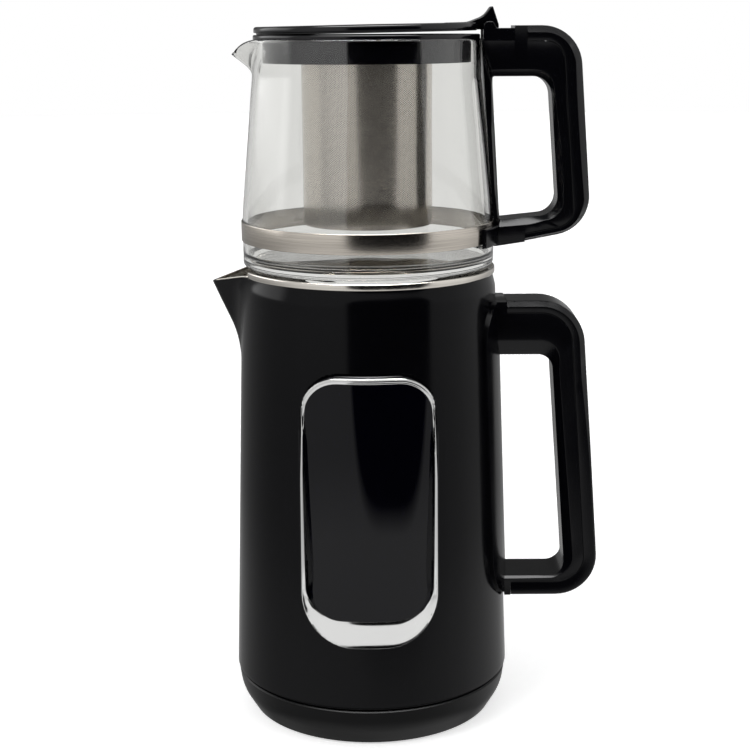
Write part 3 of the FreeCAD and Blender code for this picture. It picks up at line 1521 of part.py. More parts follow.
def make_teapot_handle_frame():
    """Inner half of the teapot's handle with its strip, foot and hinge ears."""
    body = new_body("teapot_handle_frame")
    inside = "arm_root"
    seam = "arm_cap_start - cap_gap"
    top = "arm_top - arm_cap_depth"
    corner = arm_line("arm_bottom", "arm_cap_side")
    loop = new_sketch(body, "XZ", "arm_outline")
    outline(
        loop,
        (
            (inside, "arm_foot"),
            ("arm_foot_reach", "arm_foot"),
            (seam, belly_line(seam)),
            (seam, belly_line(seam, "arm_cap_low")),
            (corner, belly_line(corner, "arm_cap_low")),
            (arm_line(top, "arm_cap_side"), top),
            (seam, top),
            (seam, "arm_top"),
            (inside, "arm_top"),
        ),
    )
    raise_sketch(body, loop, "arm_width", both=True)
    opening = new_sketch(body, "XZ", "arm_opening")
    outline(
        opening,
        (
            ("gap_bottom_start", "gap_bottom"),
            ("gap_bottom_reach", "gap_bottom"),
            ("gap_top_reach", "gap_top"),
            ("gap_top_start", "gap_top"),
        ),
    )
    raise_sketch(body, opening, f"arm_width + {BEYOND}", "Pocket", both=True)
    dress(body, "Fillet", "gap_top_round", stands_at("gap_top_reach", "gap_top"))
    dress(body, "Fillet", "gap_bottom_round", stands_at("gap_bottom_reach", "gap_bottom"))
    dress(body, "Fillet", "arm_round - arm_cap_side", stands_at(arm_line(top, "arm_cap_side"), top))
    dress(
        body,
        "Fillet",
        "arm_round - arm_cap_side",
        stands_at(corner, belly_line(corner, "arm_cap_low")),
    )
    around = (
        ("gap_bottom_start", "gap_bottom"),
        ("gap_bottom_reach", "gap_bottom"),
        ("gap_top_reach", "gap_top"),
        ("gap_top_start", "gap_top"),
    )
    bends = ("gap_top_round", "gap_bottom_round")
    dress(body, "Chamfer", "arm_bevel", on_loop("arm_width / 2", around, bends))
    cheek = new_sketch(body, "XZ", "cheek_outline")
    outline(
        cheek,
        (
            (inside, "cheek_top"),
            ("pocket_end", "cheek_top"),
            ("pocket_end", f"arm_top + {BEYOND}"),
            (inside, f"arm_top + {BEYOND}"),
        ),
    )
    raise_sketch(body, cheek, f"arm_width + {BEYOND}", "Pocket", both=True)
    ear = new_sketch(body, "XZ", "ear_outline")
    circle(ear, "hinge_reach", "hinge_height", "ear_radius")
    raise_sketch(body, ear, "arm_width", both=True)
    seat = new_sketch(body, "XZ", "glass_seat")
    outline(
        seat,
        (
            ("0", f"arm_foot - {BEYOND}"),
            ("glass_radius + band_thickness + band_fit", f"arm_foot - {BEYOND}"),
            ("glass_radius + band_thickness + band_fit", "band_bottom + band_height + fit_gap"),
            ("glass_radius + fit_gap", "band_bottom + band_height + fit_gap"),
            ("glass_radius + fit_gap", "glass_straight_top", "glass_bend"),
            ("glass_bend_radius + fit_gap", "glass_bend_top"),
            ("glass_neck_radius + fit_gap", "glass_neck_height"),
            ("glass_rim_radius + fit_gap", "glass_top"),
            ("glass_rim_radius + fit_gap", f"arm_top + {BEYOND}"),
            ("0", f"arm_top + {BEYOND}"),
        ),
    )
    turn(body, seat, "Groove")
    foot = new_sketch(body, "XZ", "saddle_section")
    strap = "glass_radius + band_thickness + band_fit"
    outline(
        foot,
        (
            (strap, "arm_foot"),
            (f"{strap} + saddle_thickness", "arm_foot"),
            (f"{strap} + saddle_thickness", "saddle_top"),
            (strap, "saddle_top"),
        ),
    )
    turn(body, foot, "Revolution", "saddle_angle")
    pocket = new_sketch(body, "XZ", "hinge_pocket")
    outline(
        pocket,
        (
            (inside, "pocket_floor"),
            ("pocket_end", "pocket_floor"),
            ("pocket_end", f"arm_top + {BEYOND}"),
            (inside, f"arm_top + {BEYOND}"),
        ),
    )
    raise_sketch(body, pocket, "knuckle_width + 2 * knuckle_side_gap", "Pocket", both=True)
    hole = new_sketch(body, "XZ", "hinge_hole")
    circle(hole, "hinge_reach", "hinge_height", "hinge_pin_radius")
    raise_sketch(body, hole, "arm_width - 2 * pin_inset", "Pocket", both=True)
    hollow = new_sketch(body, "XZ", "arm_hollow")
    outline(
        hollow,
        (
            ("arm_cap_start + grip_wall", f"{top} + {BEYOND}"),
            ("arm_cap_start + grip_wall", "gap_top + grip_wall"),
            ("gap_top_reach + grip_wall", "gap_top + grip_wall"),
            ("gap_bottom_reach + grip_wall", "gap_bottom + hollow_rise"),
            (f"arm_bottom_reach + {BEYOND}", "gap_bottom + hollow_rise"),
            (f"arm_bottom_reach + {BEYOND}", f"{top} + {BEYOND}"),
        ),
    )
    raise_sketch(body, hollow, "arm_width - 2 * (arm_bevel + grip_wall)", "Pocket", both=True)
    return body


def make_teapot_handle_cover():
    """Outer half of the teapot's handle, a C-shaped cap."""
    body = new_body("teapot_handle_cover")
    corner = arm_line("arm_bottom")
    band = new_sketch(body, "XZ", "arm_cap_outline")
    outline(
        band,
        (
            ("arm_cap_start", belly_line("arm_cap_start")),
            (corner, belly_line(corner)),
            (arm_line("arm_top"), "arm_top"),
            ("arm_cap_start", "arm_top"),
        ),
    )
    raise_sketch(body, band, "arm_width", both=True)
    inset = "arm_cap_side - fit_gap"
    inner = arm_line("arm_bottom", inset)
    top = "arm_top - arm_cap_depth + fit_gap"
    lift = "arm_cap_low - fit_gap"
    start = f"arm_cap_start - {BEYOND}"
    core = new_sketch(body, "XZ", "arm_cap_core")
    outline(
        core,
        (
            (start, belly_line(start, lift)),
            (inner, belly_line(inner, lift)),
            (arm_line(top, inset), top),
            (start, top),
        ),
    )
    raise_sketch(body, core, f"arm_width + {BEYOND}", "Pocket", both=True)
    dress(body, "Fillet", "arm_round - arm_cap_side", stands_at(arm_line(top, inset), top))
    dress(body, "Fillet", "arm_round - arm_cap_side", stands_at(inner, belly_line(inner, lift)))
    dress(body, "Fillet", "arm_round", stands_at(arm_line("arm_top"), "arm_top"))
    dress(body, "Fillet", "arm_round", stands_at(corner, belly_line(corner)))
    around = (
        ("arm_cap_start", belly_line("arm_cap_start")),
        (corner, belly_line(corner)),
        (arm_line("arm_top"), "arm_top"),
        ("arm_cap_start", "arm_top"),
    )
    dress(body, "Fillet", "arm_edge", on_loop("arm_width / 2", around, ("arm_round",)))
    return body


def make_strainer_collar():
    """Plastic collar on the jug's rim with a skirt inside the glass."""
    body = new_body("strainer_collar")
    section = new_sketch(body, "XZ", "collar_section")
    outline(
        section,
        (
            ("basket_radius + fit_gap", "glass_top - web_thickness"),
            ("skirt_radius - skirt_wall", "glass_top - web_thickness"),
            ("skirt_radius - skirt_wall", "skirt_bottom"),
            ("skirt_radius", "skirt_bottom"),
            ("skirt_radius", "glass_top"),
            ("collar_radius", "glass_top"),
            ("collar_radius", "glass_top + collar_thickness"),
            ("skirt_radius - skirt_wall", "glass_top + collar_thickness"),
            ("skirt_radius - skirt_wall", "glass_top"),
            ("basket_radius + fit_gap", "glass_top"),
        ),
    )
    turn(body, section)
    slot = new_sketch(body, "XZ", "drain_slot")
    half = "notch_width / 2"
    outline(
        slot,
        (
            (f"-notch_offset - {half}", f"skirt_bottom - {BEYOND}"),
            (f"-notch_offset + {half}", f"skirt_bottom - {BEYOND}"),
            (f"-notch_offset + {half}", "skirt_bottom + notch_height"),
            (f"-notch_offset - {half}", "skirt_bottom + notch_height"),
        ),
    )
    raise_sketch(body, slot, FAR, "Pocket", both=True)
    return body


def make_strainer_basket():
    """Rolled steel tube of the strainer with a turned-out rim."""
    body = new_body("strainer_basket")
    section = new_sketch(body, "XZ", "basket_section")
    outline(
        section,
        (
            ("basket_radius - basket_wall", "basket_bottom"),
            ("basket_radius", "basket_bottom"),
            ("basket_radius", "glass_top"),
            ("basket_radius + basket_flange", "glass_top"),
            ("basket_radius + basket_flange", "glass_top + basket_wall"),
            ("basket_radius - basket_wall", "glass_top + basket_wall"),
        ),
    )
    turn(body, section)
    return body


def make_strainer_floor():
    """Pressed floor of the basket, its edge turned up inside the tube."""
    body = new_body("strainer_floor")
    inner = "basket_radius - basket_wall"
    section = new_sketch(body, "XZ", "basket_floor_section")
    outline(
        section,
        (
            ("0", "basket_bottom"),
            (inner, "basket_bottom"),
            (inner, "basket_bottom + basket_cap_height"),
            (f"{inner} - basket_wall", "basket_bottom + basket_cap_height"),
            (f"{inner} - basket_wall", "basket_bottom + basket_wall"),
            ("0", "basket_bottom + basket_wall"),
        ),
    )
    turn(body, section)
    return body


def make_hinge_pin():
    """Steel pin through both ears."""
    body = new_body("hinge_pin")
    section = new_sketch(body, "XZ", "pin_outline")
    circle(section, "hinge_reach", "hinge_height", "hinge_pin_radius")
    raise_sketch(body, section, "arm_width - 2 * pin_inset", both=True)
    return body


# ------------------------------------------------------------------------ lid


def make_lid():
    """Flat lid with its hinge arm and thumb lever, leaning on the collar."""
    body = new_body("lid")
    top = "lid_bottom + lid_thickness"
    disc = new_sketch(body, "XZ", "lid_section")
    outline(
        disc,
        (
            ("0", "lid_bottom"),
            ("lid_radius - lid_edge", "lid_bottom", "lid_edge"),
            ("lid_radius", "lid_bottom + lid_edge"),
            ("lid_radius", f"{top} - lid_edge", "lid_edge"),
            ("lid_radius - lid_edge", top),
            ("0", top),
        ),
    )
    turn(body, disc)
    arm = new_sketch(body, "XZ", "lever_outline")
    outline(
        arm,
        (
            ("lever_start - lever_root", "lid_bottom"),
            ("hinge_reach", "lid_bottom"),
            ("lever_foot_reach - lever_heel_inset", "hinge_height - lever_heel"),
            ("lever_foot_reach", "hinge_height"),
            ("lever_peak_reach + lever_tip", "lever_peak"),
            ("lever_peak_reach", "lever_peak", "-lever_hollow"),
            ("lever_start", top),
            ("lever_start - lever_root", top),
        ),
    )
    raise_sketch(body, arm, "knuckle_width", both=True)
    hole = new_sketch(body, "XZ", "knuckle_hole")
    circle(hole, "hinge_reach", "hinge_height", "hinge_pin_radius + hinge_clearance")
    raise_sketch(body, hole, f"knuckle_width + {BEYOND}", "Pocket", both=True)
    centre = FreeCAD.Vector(number("hinge_reach"), 0, number("hinge_height"))
    lean = FreeCAD.Rotation(FreeCAD.Vector(0, 1, 0), -number("lid_tilt"))
    body.Placement = FreeCAD.Placement(FreeCAD.Vector(), lean, centre)
    return body


# ---------------------------------------------------------------- the machine


def build():
    """Make every piece."""
    make_base_housing()
    make_base_plate()
    make_base_feet()
    make_screws("base_screws", "boss_circle", FLOOR, "screw_length", "foot_count")
    make_cord_gland()
    make_base_connector()
    make_base_terminals()
    make_kettle_shell()
    make_kettle_pot()
    make_pot_seal()
    make_heater_plate()
    make_heating_element()
    make_control_housing()
    make_bimetal_disc()
    make_kettle_connector()
    make_kettle_base_cover()
    make_screws(
        "base_cover_screws",
        "cover_boss_circle",
        "cover_height - screw_head_height",
        "screw_length",
        "cover_screw_count",
    )
    make_front_panel()
    make_panel_frame()
    make_control_board()
    make_ribbon_cable()
    make_handle_mount()
    make_kettle_handle_frame()
    make_kettle_handle_cover()
    make_kettle_handle_screws()
    make_teapot_glass()
    make_teapot_band()
    make_teapot_handle_frame()
    make_teapot_handle_cover()
    make_strainer_collar()
    make_strainer_basket()
    make_strainer_floor()
    make_hinge_pin()
    make_lid()


def check_and_export():
    """Stop on a failed object, then write one STEP file per piece."""
    doc.recompute()
    for item in doc.Objects:
        if {"Invalid", "Error"} & set(item.State):
            raise RuntimeError(f"{item.Label} failed: {item.State}")
    os.makedirs("parts", exist_ok=True)
    for node in nodes:
        shape = node.Shape
        if shape.isNull() or not shape.isValid() or not shape.Solids:
            raise RuntimeError(f"{node.Label} has no sound shape")
        print(node.Label, len(shape.Solids), round(shape.Volume, 1))
    for node in nodes:
        node.Shape.exportStep(os.path.join("parts", node.Label + ".step"))


build()
check_and_export()
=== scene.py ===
from types import SimpleNamespace

import bmesh
import bpy
import numpy as np
from bpy.props import FloatProperty, FloatVectorProperty, PointerProperty
from mathutils import Matrix, Vector


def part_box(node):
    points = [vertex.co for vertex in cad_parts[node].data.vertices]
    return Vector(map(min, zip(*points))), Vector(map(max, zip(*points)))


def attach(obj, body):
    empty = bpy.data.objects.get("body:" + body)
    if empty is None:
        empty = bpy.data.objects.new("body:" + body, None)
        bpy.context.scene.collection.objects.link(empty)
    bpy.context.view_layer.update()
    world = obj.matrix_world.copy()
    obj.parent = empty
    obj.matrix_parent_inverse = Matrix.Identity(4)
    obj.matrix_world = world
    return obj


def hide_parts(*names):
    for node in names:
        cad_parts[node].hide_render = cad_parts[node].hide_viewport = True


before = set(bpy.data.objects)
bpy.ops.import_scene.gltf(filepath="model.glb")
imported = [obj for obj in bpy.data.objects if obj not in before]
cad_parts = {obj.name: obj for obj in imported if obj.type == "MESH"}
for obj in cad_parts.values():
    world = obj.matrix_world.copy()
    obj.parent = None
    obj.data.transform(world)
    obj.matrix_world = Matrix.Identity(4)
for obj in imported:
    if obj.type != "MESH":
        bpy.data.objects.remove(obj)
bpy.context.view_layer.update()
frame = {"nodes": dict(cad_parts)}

bl_info = {
    "name": "Automatic tea maker",
    "version": (1, 0, 0),
    "blender": (4, 5, 0),
    "location": "View3D > Sidebar > Tea Maker",
    "description": "Dressed pieces, finishes and stage of a kettle with a glass teapot",
    "category": "Add Mesh",
}

# ------------------------------------------------------------------ measures

MM = 0.001


def cad_box(node):
    """Lowest and highest corner of a CAD node, in millimetres."""
    low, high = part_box(node)
    return np.array(low) / MM, np.array(high) / MM


def linear(hex_colour):
    """An sRGB hex colour as the four linear values that a shader takes."""
    code = hex_colour.lstrip("#")
    srgb = np.array([int(code[i:i + 2], 16) for i in (0, 2, 4)]) / 255
    value = np.where(srgb <= 0.04045, srgb / 12.92, ((srgb + 0.055) / 1.055) ** 2.4)
    return (*value.tolist(), 1.0)


def length(name, millimetres, description):
    """A length property, shown in the scene's unit."""
    return FloatProperty(
        name=name, description=description, default=millimetres * MM, unit="LENGTH", precision=5
    )


def colour(name, hex_colour, description):
    """A colour property."""
    return FloatVectorProperty(
        name=name, description=description, default=linear(hex_colour)[:3], subtype="COLOR",
        size=3, min=0.0, max=1.0,
    )


BASE_LOW, BASE_HIGH = cad_box("base_housing")
SHELL_LOW, SHELL_HIGH = cad_box("kettle_shell")
WINDOW_LOW, WINDOW_HIGH = cad_box("front_panel")
BEZEL_LOW, BEZEL_HIGH = cad_box("panel_frame")
POT_LOW, POT_HIGH = cad_box("kettle_pot")
MOUNT_LOW, MOUNT_HIGH = cad_box("handle_mount")
BAND_LOW, BAND_HIGH = cad_box("teapot_band")
COLLAR_LOW, COLLAR_HIGH = cad_box("strainer_collar")
BASKET_LOW, BASKET_HIGH = cad_box("strainer_basket")
BASKET_RIM, BASKET_WALL = 3.0, 0.5


class TeaMakerSizes(bpy.types.PropertyGroup):
    """Driving sizes of the dressed pieces."""

    base_radius: length("Base radius", BASE_HIGH[1] + 0.5, "Power base at its top rim")
    base_foot_radius: length("Base foot radius", 66.3, "Power base at its underside")
    shell_low_radius: length("Shell, low", SHELL_HIGH[1] + 0.5, "Kettle shell near its lower edge")
    shell_high_radius: length("Shell, high", 67.4, "Kettle shell under its shoulder")
    shell_top_radius: length("Shell, top", 65.9, "Kettle shell at its top edge")
    shell_wall: length("Shell wall", 2.4, "Wall of the kettle shell")
    pot_radius: length("Pot radius", 61.0, "Steel pot, outside")
    pot_wall: length("Pot wall", 0.8, "Steel sheet of the pot")
    window_radius: length("Window radius", 67.9, "Face of the window from the axis")
    window_corner: length("Window corner", 17.0, "Corners of the window")
    trim_corner: length("Trim corner", 4.5, "Trim's corners, larger than the window's by")
    grip_width: length("Grip width", 30.0, "Kettle handle across")
    grip_bevel: length("Grip bevel", 5.0, "Bevel along the finger opening")
    grip_edge: length("Grip edge", 3.5, "Round along the outside of the handle")
    jug_radius: length("Jug radius", 66.2, "Glass jug at its widest")
    jug_wall: length("Jug wall", 2.4, "Wall of the glass jug")
    jug_floor: length("Jug floor", 5.4, "Thick floor of the glass jug")
    arm_width: length("Teapot handle width", 26.0, "Teapot handle across")
    lid_radius: length("Lid radius", 58.2, "Lid disc")
    lid_thickness: length("Lid thickness", 4.0, "Lid disc")
    basket_radius: length("Basket radius", BASKET_HIGH[1] - BASKET_RIM, "Strainer basket")


class TeaMakerColours(bpy.types.PropertyGroup):
    """Colours of the finishes."""

    shell: colour("Shell", "#040406", "Gloss black body")
    base: colour("Base", "#060607", "Power base")
    handle: colour("Handle", "#050508", "Handles and saddle")
    lid: colour("Lid", "#050508", "Lid, strainer collar and window surround")
    window: colour("Window", "#020206", "Touch window")
    frame: colour("Frame", "#dcdcdb", "Chrome ring round the window")
    steel: colour("Steel", "#c9c2b8", "Brushed steel strap")
    glass: colour("Glass", "#f6f6f5", "Glass of the jug")
    floor: colour("Floor", "#f7f7f7", "Floor under the object")


def sizes_in_mm():
    """The sizes as plain numbers in millimetres."""
    group = bpy.context.scene.tea_maker_sizes
    return SimpleNamespace(
        **{key: getattr(group, key) / MM for key in TeaMakerSizes.__annotations__}
    )


def chosen(name):
    """A colour of the panel as a shader's four values."""
    return (*getattr(bpy.context.scene.tea_maker_colours, name), 1.0)


# ------------------------------------------------------------------ outlines


def rounded(corners, steps=8):
    """Line through (across, up, bend) corners, with arcs of radius bend.

    A corner without a bend is one point. One with a bend, even 0, gives
    steps + 1 points, so that two lines can be matched point for point. The
    arc runs between the points where a circle of that radius touches the
    corner's two sides.
    """
    spots = [np.array(corner[:2], dtype=float) for corner in corners]
    parts = []
    for index, corner in enumerate(corners):
        spot = spots[index]
        if len(corner) == 2:
            parts.append(spot[None])
            continue
        if corner[2] == 0:
            parts.append(np.repeat(spot[None], steps + 1, axis=0))
            continue
        back = spots[index - 1] - spot
        ahead = spots[(index + 1) % len(spots)] - spot
        back /= np.linalg.norm(back)
        ahead /= np.linalg.norm(ahead)
        half = np.arccos(np.clip(back @ ahead, -1, 1)) / 2
        middle = spot + (back + ahead) / np.linalg.norm(back + ahead) * corner[2] / np.sin(half)
        start = spot + back * corner[2] / np.tan(half) - middle
        end = spot + ahead * corner[2] / np.tan(half) - middle
        turn = np.pi - 2 * half
        share = np.linspace(0, 1, steps + 1)[:, None]
        arc = np.sin((1 - share) * turn) * start + np.sin(share * turn) * end
        parts.append(middle + arc / np.sin(turn))
    return np.vstack(parts)


def divided(lines, pace):
    """The lines, point for point alike, with long stretches cut to the pace."""
    gaps = np.max([np.linalg.norm(np.diff(line, axis=0), axis=1) for line in lines], axis=0)
    counts = np.maximum(1, np.ceil(gaps / pace)).astype(int)
    places = [start + np.arange(count) / count for start, count in enumerate(counts)]
    index = np.concatenate(places + [[len(counts)]])
    whole = np.arange(len(lines[0]))
    return [
        np.stack([np.interp(index, whole, line[:, axis]) for axis in range(line.shape[1])], axis=1)
        for line in lines
    ]


def closed(line):
    """The line with its first point again at the end."""
    return np.vstack([line, line[:1]])


def smooth_max(first, second, blend):
    """The larger of two values, with a fillet of about the blend's size."""
    near = np.maximum(blend - np.abs(first - second), 0) / blend
    return np.maximum(first, second) + near ** 2 * blend / 4


def smooth_step(value, start, end):
    """0 before start, 1 after end, and 3t^2 - 2t^3 between them."""
    share = np.clip((value - start) / (end - start), 0, 1)
    return share * share * (3 - 2 * share)


# -------------------------------------------------------------------- meshes


def turned(profile, turns=160):
    """A grid: the (radius, height) profile carried round the upright axis."""
    angle = np.linspace(0.5 * np.pi, 2.5 * np.pi, turns + 1)
    radius, height = profile[:, :1], profile[:, 1:]
    return np.stack(
        [radius * np.cos(angle), radius * np.sin(angle), height + 0 * angle], axis=-1
    )


def skin(name, sheets, sharp=35.0):
    """An object from grids of points in millimetres, joined where they meet."""
    points, faces, start = [], [], 0
    for sheet in sheets:
        rows, columns = sheet.shape[:2]
        index = start + np.arange(rows * columns).reshape(rows, columns)
        quads = [index[:-1, :-1], index[:-1, 1:], index[1:, 1:], index[1:, :-1]]
        faces.append(np.stack(quads, axis=-1).reshape(-1, 4))
        points.append(sheet.reshape(-1, 3) * MM)
        start += rows * columns
    mesh = bpy.data.meshes.new(name)
    mesh.from_pydata(np.vstack(points).tolist(), [], np.vstack(faces).tolist())
    shape = bmesh.new()
    shape.from_mesh(mesh)
    bmesh.ops.remove_doubles(shape, verts=shape.verts, dist=2e-6)
    bmesh.ops.recalc_face_normals(shape, faces=shape.faces)
    shape.to_mesh(mesh)
    shape.free()
    mesh.shade_smooth()
    mesh.set_sharp_from_angle(angle=np.radians(sharp))
    piece = bpy.data.objects.new(name, mesh)
    bpy.context.scene.collection.objects.link(piece)
    return piece


def capped(sheet):
    """The grid with its first and last row drawn to their middles."""
    first = np.repeat(sheet[:1].mean(axis=1, keepdims=True), sheet.shape[1], axis=1)
    last = np.repeat(sheet[-1:].mean(axis=1, keepdims=True), sheet.shape[1], axis=1)
    return np.concatenate([first, sheet, last], axis=0)


def bevelled(piece, width, segments=2):
    """Round the piece's edges with a Bevel modifier."""
    bevel = piece.modifiers.new("edge_round", "BEVEL")
    bevel.width = width * MM
    bevel.segments = segments
    bevel.limit_method = "ANGLE"
    bevel.angle_limit = np.radians(40)
    bevel.harden_normals = True


def thickened(piece, thickness):
    """Give an open sheet its wall, away from its faces."""
    wall = piece.modifiers.new("wall", "SOLIDIFY")
    wall.thickness = thickness * MM
    wall.offset = -1
    wall.use_even_offset = True


def dressed(piece, finish, body, slot, *nodes):
    """Give the piece its finish and its body, and hide the CAD nodes it stands for."""
    piece.data.materials.append(FINISH[finish])
    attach(piece, body)
    if nodes:
        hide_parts(*nodes)


def plate(outline, middle, near, far):
    """Two fans and a wall: an outline (x, z) between y = near and y = far.

    The outline has to be star-shaped about the middle (x, z).
    """
    line = closed(outline)
    spot = np.array(middle, dtype=float)
    rows = [(spot + 0 * line, near), (line, near), (line, far), (spot + 0 * line, far)]
    return np.stack(
        [np.stack([row[:, 0], 0 * row[:, 0] + y, row[:, 1]], axis=-1) for row, y in rows]
    )


def loop_grip(inner, outer, near, far, half, scale=((1.0,), (1.0,))):
    """A handle's skin: one section carried along a pair of matched lines.

    At each station the section spans from the inner to the outer line, both
    in (x, z). Its points are (distance from that line, inset from the flank);
    the flank is at y = half, and the other side is the mirror image. The two
    rows of scale, one value for each station, stretch near and far.
    """
    reach = outer - inner
    depth = np.linalg.norm(reach, axis=1, keepdims=True)
    aim = reach / depth
    half = np.broadcast_to(half, depth[:, 0].shape)[:, None]
    tall, short = np.broadcast_to(scale, (2, len(depth)))[..., None]
    shares = [
        np.minimum(near[:, 0] * tall, 0.45 * depth),
        depth - np.minimum(far[:, 0] * short, 0.45 * depth),
    ]
    away = np.concatenate(shares, axis=1)
    inset = [near[:, 1] * np.minimum(tall, 1), far[:, 1] * np.minimum(short, 1)]
    side = half - np.concatenate(inset, axis=1)
    away = np.concatenate([away, away[:, ::-1], away[:, :1]], axis=1)
    side = np.concatenate([side, -side[:, ::-1], side[:, :1]], axis=1)
    x = inner[:, :1] + aim[:, :1] * away
    z = inner[:, 1:] + aim[:, 1:] * away
    return np.stack([x, side, z], axis=-1)


def bevel_line(width, bend):
    """Section of a bevelled edge as (distance, inset), with rounded corners."""
    end = width + 2 * bend
    return rounded(((0, end), (0, width, bend), (width, 0, bend), (end, 0)), 4)


def round_line(radius):
    """Section of a quarter-round edge as (distance, inset), flank first."""
    angle = np.linspace(0, np.pi / 2, 3)
    return np.stack([radius * (1 - np.sin(angle)), radius * (1 - np.cos(angle))], axis=1)


# ----------------------------------------------------------------- materials


def add(tree, kind, settings=None, stops=(), to=None, **links):
    """Add a shader node with its settings and links.

    A link names a socket, or its number after an underscore, and gives it a
    value, another socket or a node, whose first output is then meant. Stops
    are a colour ramp's (position, grey or colour). The new node's first
    output feeds the socket `to`.
    """
    node = tree.nodes.new("ShaderNode" + kind)
    for key, value in (settings or {}).items():
        setattr(node, key, value)
    for key, value in links.items():
        name = int(key[1:]) if key[0] == "_" else key.replace("_", " ")
        if isinstance(value, bpy.types.Node):
            value = value.outputs[0]
        if isinstance(value, bpy.types.NodeSocket):
            tree.links.new(value, node.inputs[name])
        else:
            node.inputs[name].default_value = value
    for _ in stops[2:]:
        node.color_ramp.elements.new(0.5)
    for index, (place, value) in enumerate(stops):
        element = node.color_ramp.elements[index]
        element.position = place
        element.color = value if isinstance(value, tuple) else (value, value, value, 1.0)
    if to is not None:
        tree.links.new(node.outputs[0], to)
    return node


def new_material(name, **sockets):
    """A node material whose Principled shader has these uniform values."""
    material = bpy.data.materials.new(name)
    material.use_nodes = True
    tree = material.node_tree
    tree.nodes.clear()
    output = add(tree, "OutputMaterial").inputs["Surface"]
    return material, tree, add(tree, "BsdfPrincipled", to=output, **sockets), output


def noise(tree, steps, detail, scale=1.0):
    """Noise whose grains are as many mm wide, deep and high as the steps say."""
    spot = add(tree, "TexCoord").outputs["Object"]
    place = add(tree, "Mapping", Vector=spot, Scale=[1 / (step * MM) for step in steps])
    return add(tree, "TexNoise", Vector=place, Scale=scale, Detail=detail)


def drive(tree, pattern, socket, value, *stops):
    """A pattern drives a socket: stops are (position, share of the value)."""
    full = value[:3] if isinstance(value, tuple) else (value, value, value)
    tones = [(place, (*(part * share for part in full), 1.0)) for place, share in stops]
    add(tree, "ValToRGB", stops=tones, to=socket, Fac=pattern)


def gloss_plastic(name, tint, roughness, grain, depth, index):
    """Injection-moulded ABS: a clear reflection over a faint moulding ripple."""
    material, tree, shader, _ = new_material(
        name, Base_Color=tint, Roughness=roughness, IOR=index
    )
    ripple = noise(tree, (grain, grain, grain), 2.0)
    wear = noise(tree, (grain, grain, grain), 4.0, 0.3)
    drive(tree, ripple, shader.inputs["Base Color"], tint, (0.3, 0.86), (0.7, 1.0))
    drive(tree, wear, shader.inputs["Roughness"], roughness, (0.35, 0.85), (0.7, 1.2))
    add(tree, "Bump", to=shader.inputs["Normal"], Height=ripple, Distance=depth * MM)
    return material


def grained(name, tint, roughness, index, grain, dark, depth):
    """Moulded with a fine even grain that spreads light, and painted shade darkening its pits."""
    material, tree, shader, _ = new_material(
        name, Base_Color=tint, Roughness=roughness, IOR=index
    )
    fine = noise(tree, (grain, grain, grain), 3.0)
    # painted shade: the same noise drives the bump, so the colour is darker where the grain dips, in
    # its pits
    drive(tree, fine, shader.inputs["Base Color"], tint, *dark)
    add(tree, "Bump", to=shader.inputs["Normal"], Height=fine, Distance=depth * MM)
    return material


def satin_plastic(name, tint, roughness, grain):
    """Spark-eroded ABS or nylon: a fine even grain, which looks dull and soft."""
    return grained(name, tint, roughness, 1.25, grain, ((0.3, 0.75), (0.75, 1.0)), 0.02)


def rubbery(name, tint, roughness):
    """Moulded elastomer: dull, with a fine grain and painted shade in its pits."""
    return grained(name, tint, roughness, 1.45, 0.8, ((0.3, 0.8), (0.7, 1.0)), 0.05)


def polished_steel(name, tint, roughness, depth=0.01):
    """Buffed stainless steel: a near mirror with faint buffing haze."""
    material, tree, shader, _ = new_material(
        name, Base_Color=tint, Metallic=1.0, Roughness=roughness
    )
    haze = noise(tree, (6.0, 6.0, 1.2), 3.0)
    drive(tree, haze, shader.inputs["Roughness"], roughness, (0.3, 0.8), (0.7, 1.5))
    add(tree, "Bump", to=shader.inputs["Normal"], Height=haze, Distance=depth * MM)
    return material


def brushed_steel(name, tint, roughness, line=0.25):
    """Stainless steel brushed round the axis: fine level lines, soft streaks."""
    material, tree, shader, _ = new_material(
        name, Base_Color=tint, Metallic=1.0, Roughness=roughness
    )
    lines = noise(tree, (40.0, 40.0, line), 4.0)
    drive(tree, lines, shader.inputs["Base Color"], tint, (0.3, 0.78), (0.65, 1.0))
    drive(tree, lines, shader.inputs["Roughness"], roughness, (0.3, 1.3), (0.7, 0.8))
    add(tree, "Bump", to=shader.inputs["Normal"], Height=lines, Distance=0.015 * MM)
    return material


def perforated_steel(name, tint, roughness, pitch, holes_round):
    """Photo-etched stainless sheet: rows of small holes, offset by half, coloured dark as painted
    shade of the basket's inside.

    The rows are drawn by two crossed waves, on the height and on the angle
    round the axis; their product peaks at the holes. The pitch is about twice
    the real one, which would be too fine to show.
    """
    material, tree, shader, _ = new_material(
        name, Base_Color=tint, Metallic=1.0, Roughness=roughness
    )
    spot = add(tree, "TexCoord").outputs["Object"]
    x, y, z = add(tree, "SeparateXYZ", Vector=spot).outputs
    angle = add(tree, "Math", {"operation": "ARCTAN2"}, _0=y, _1=x)
    waves = []
    for place, pace in ((z, 2 * np.pi / (pitch * MM)), (angle, holes_round)):
        phase = add(tree, "Math", {"operation": "MULTIPLY"}, _0=place, _1=pace)
        waves.append(add(tree, "Math", {"operation": "SINE"}, _0=phase))
    holes = add(tree, "Math", {"operation": "MULTIPLY"}, _0=waves[0], _1=waves[1])
    # painted shade: the real holes are drawn as dark dots, for the shaded inside of the basket seen
    # through them
    drive(tree, holes, shader.inputs["Base Color"], tint, (0.0, 1.0), (0.35, 1.0), (0.6, 0.18))
    sunk_in = add(tree, "Bump", to=shader.inputs["Normal"], Distance=0.03 * MM)
    drive(tree, holes, sunk_in.inputs["Height"], 1.0, (0.3, 1.0), (0.6, 0.0))
    return material


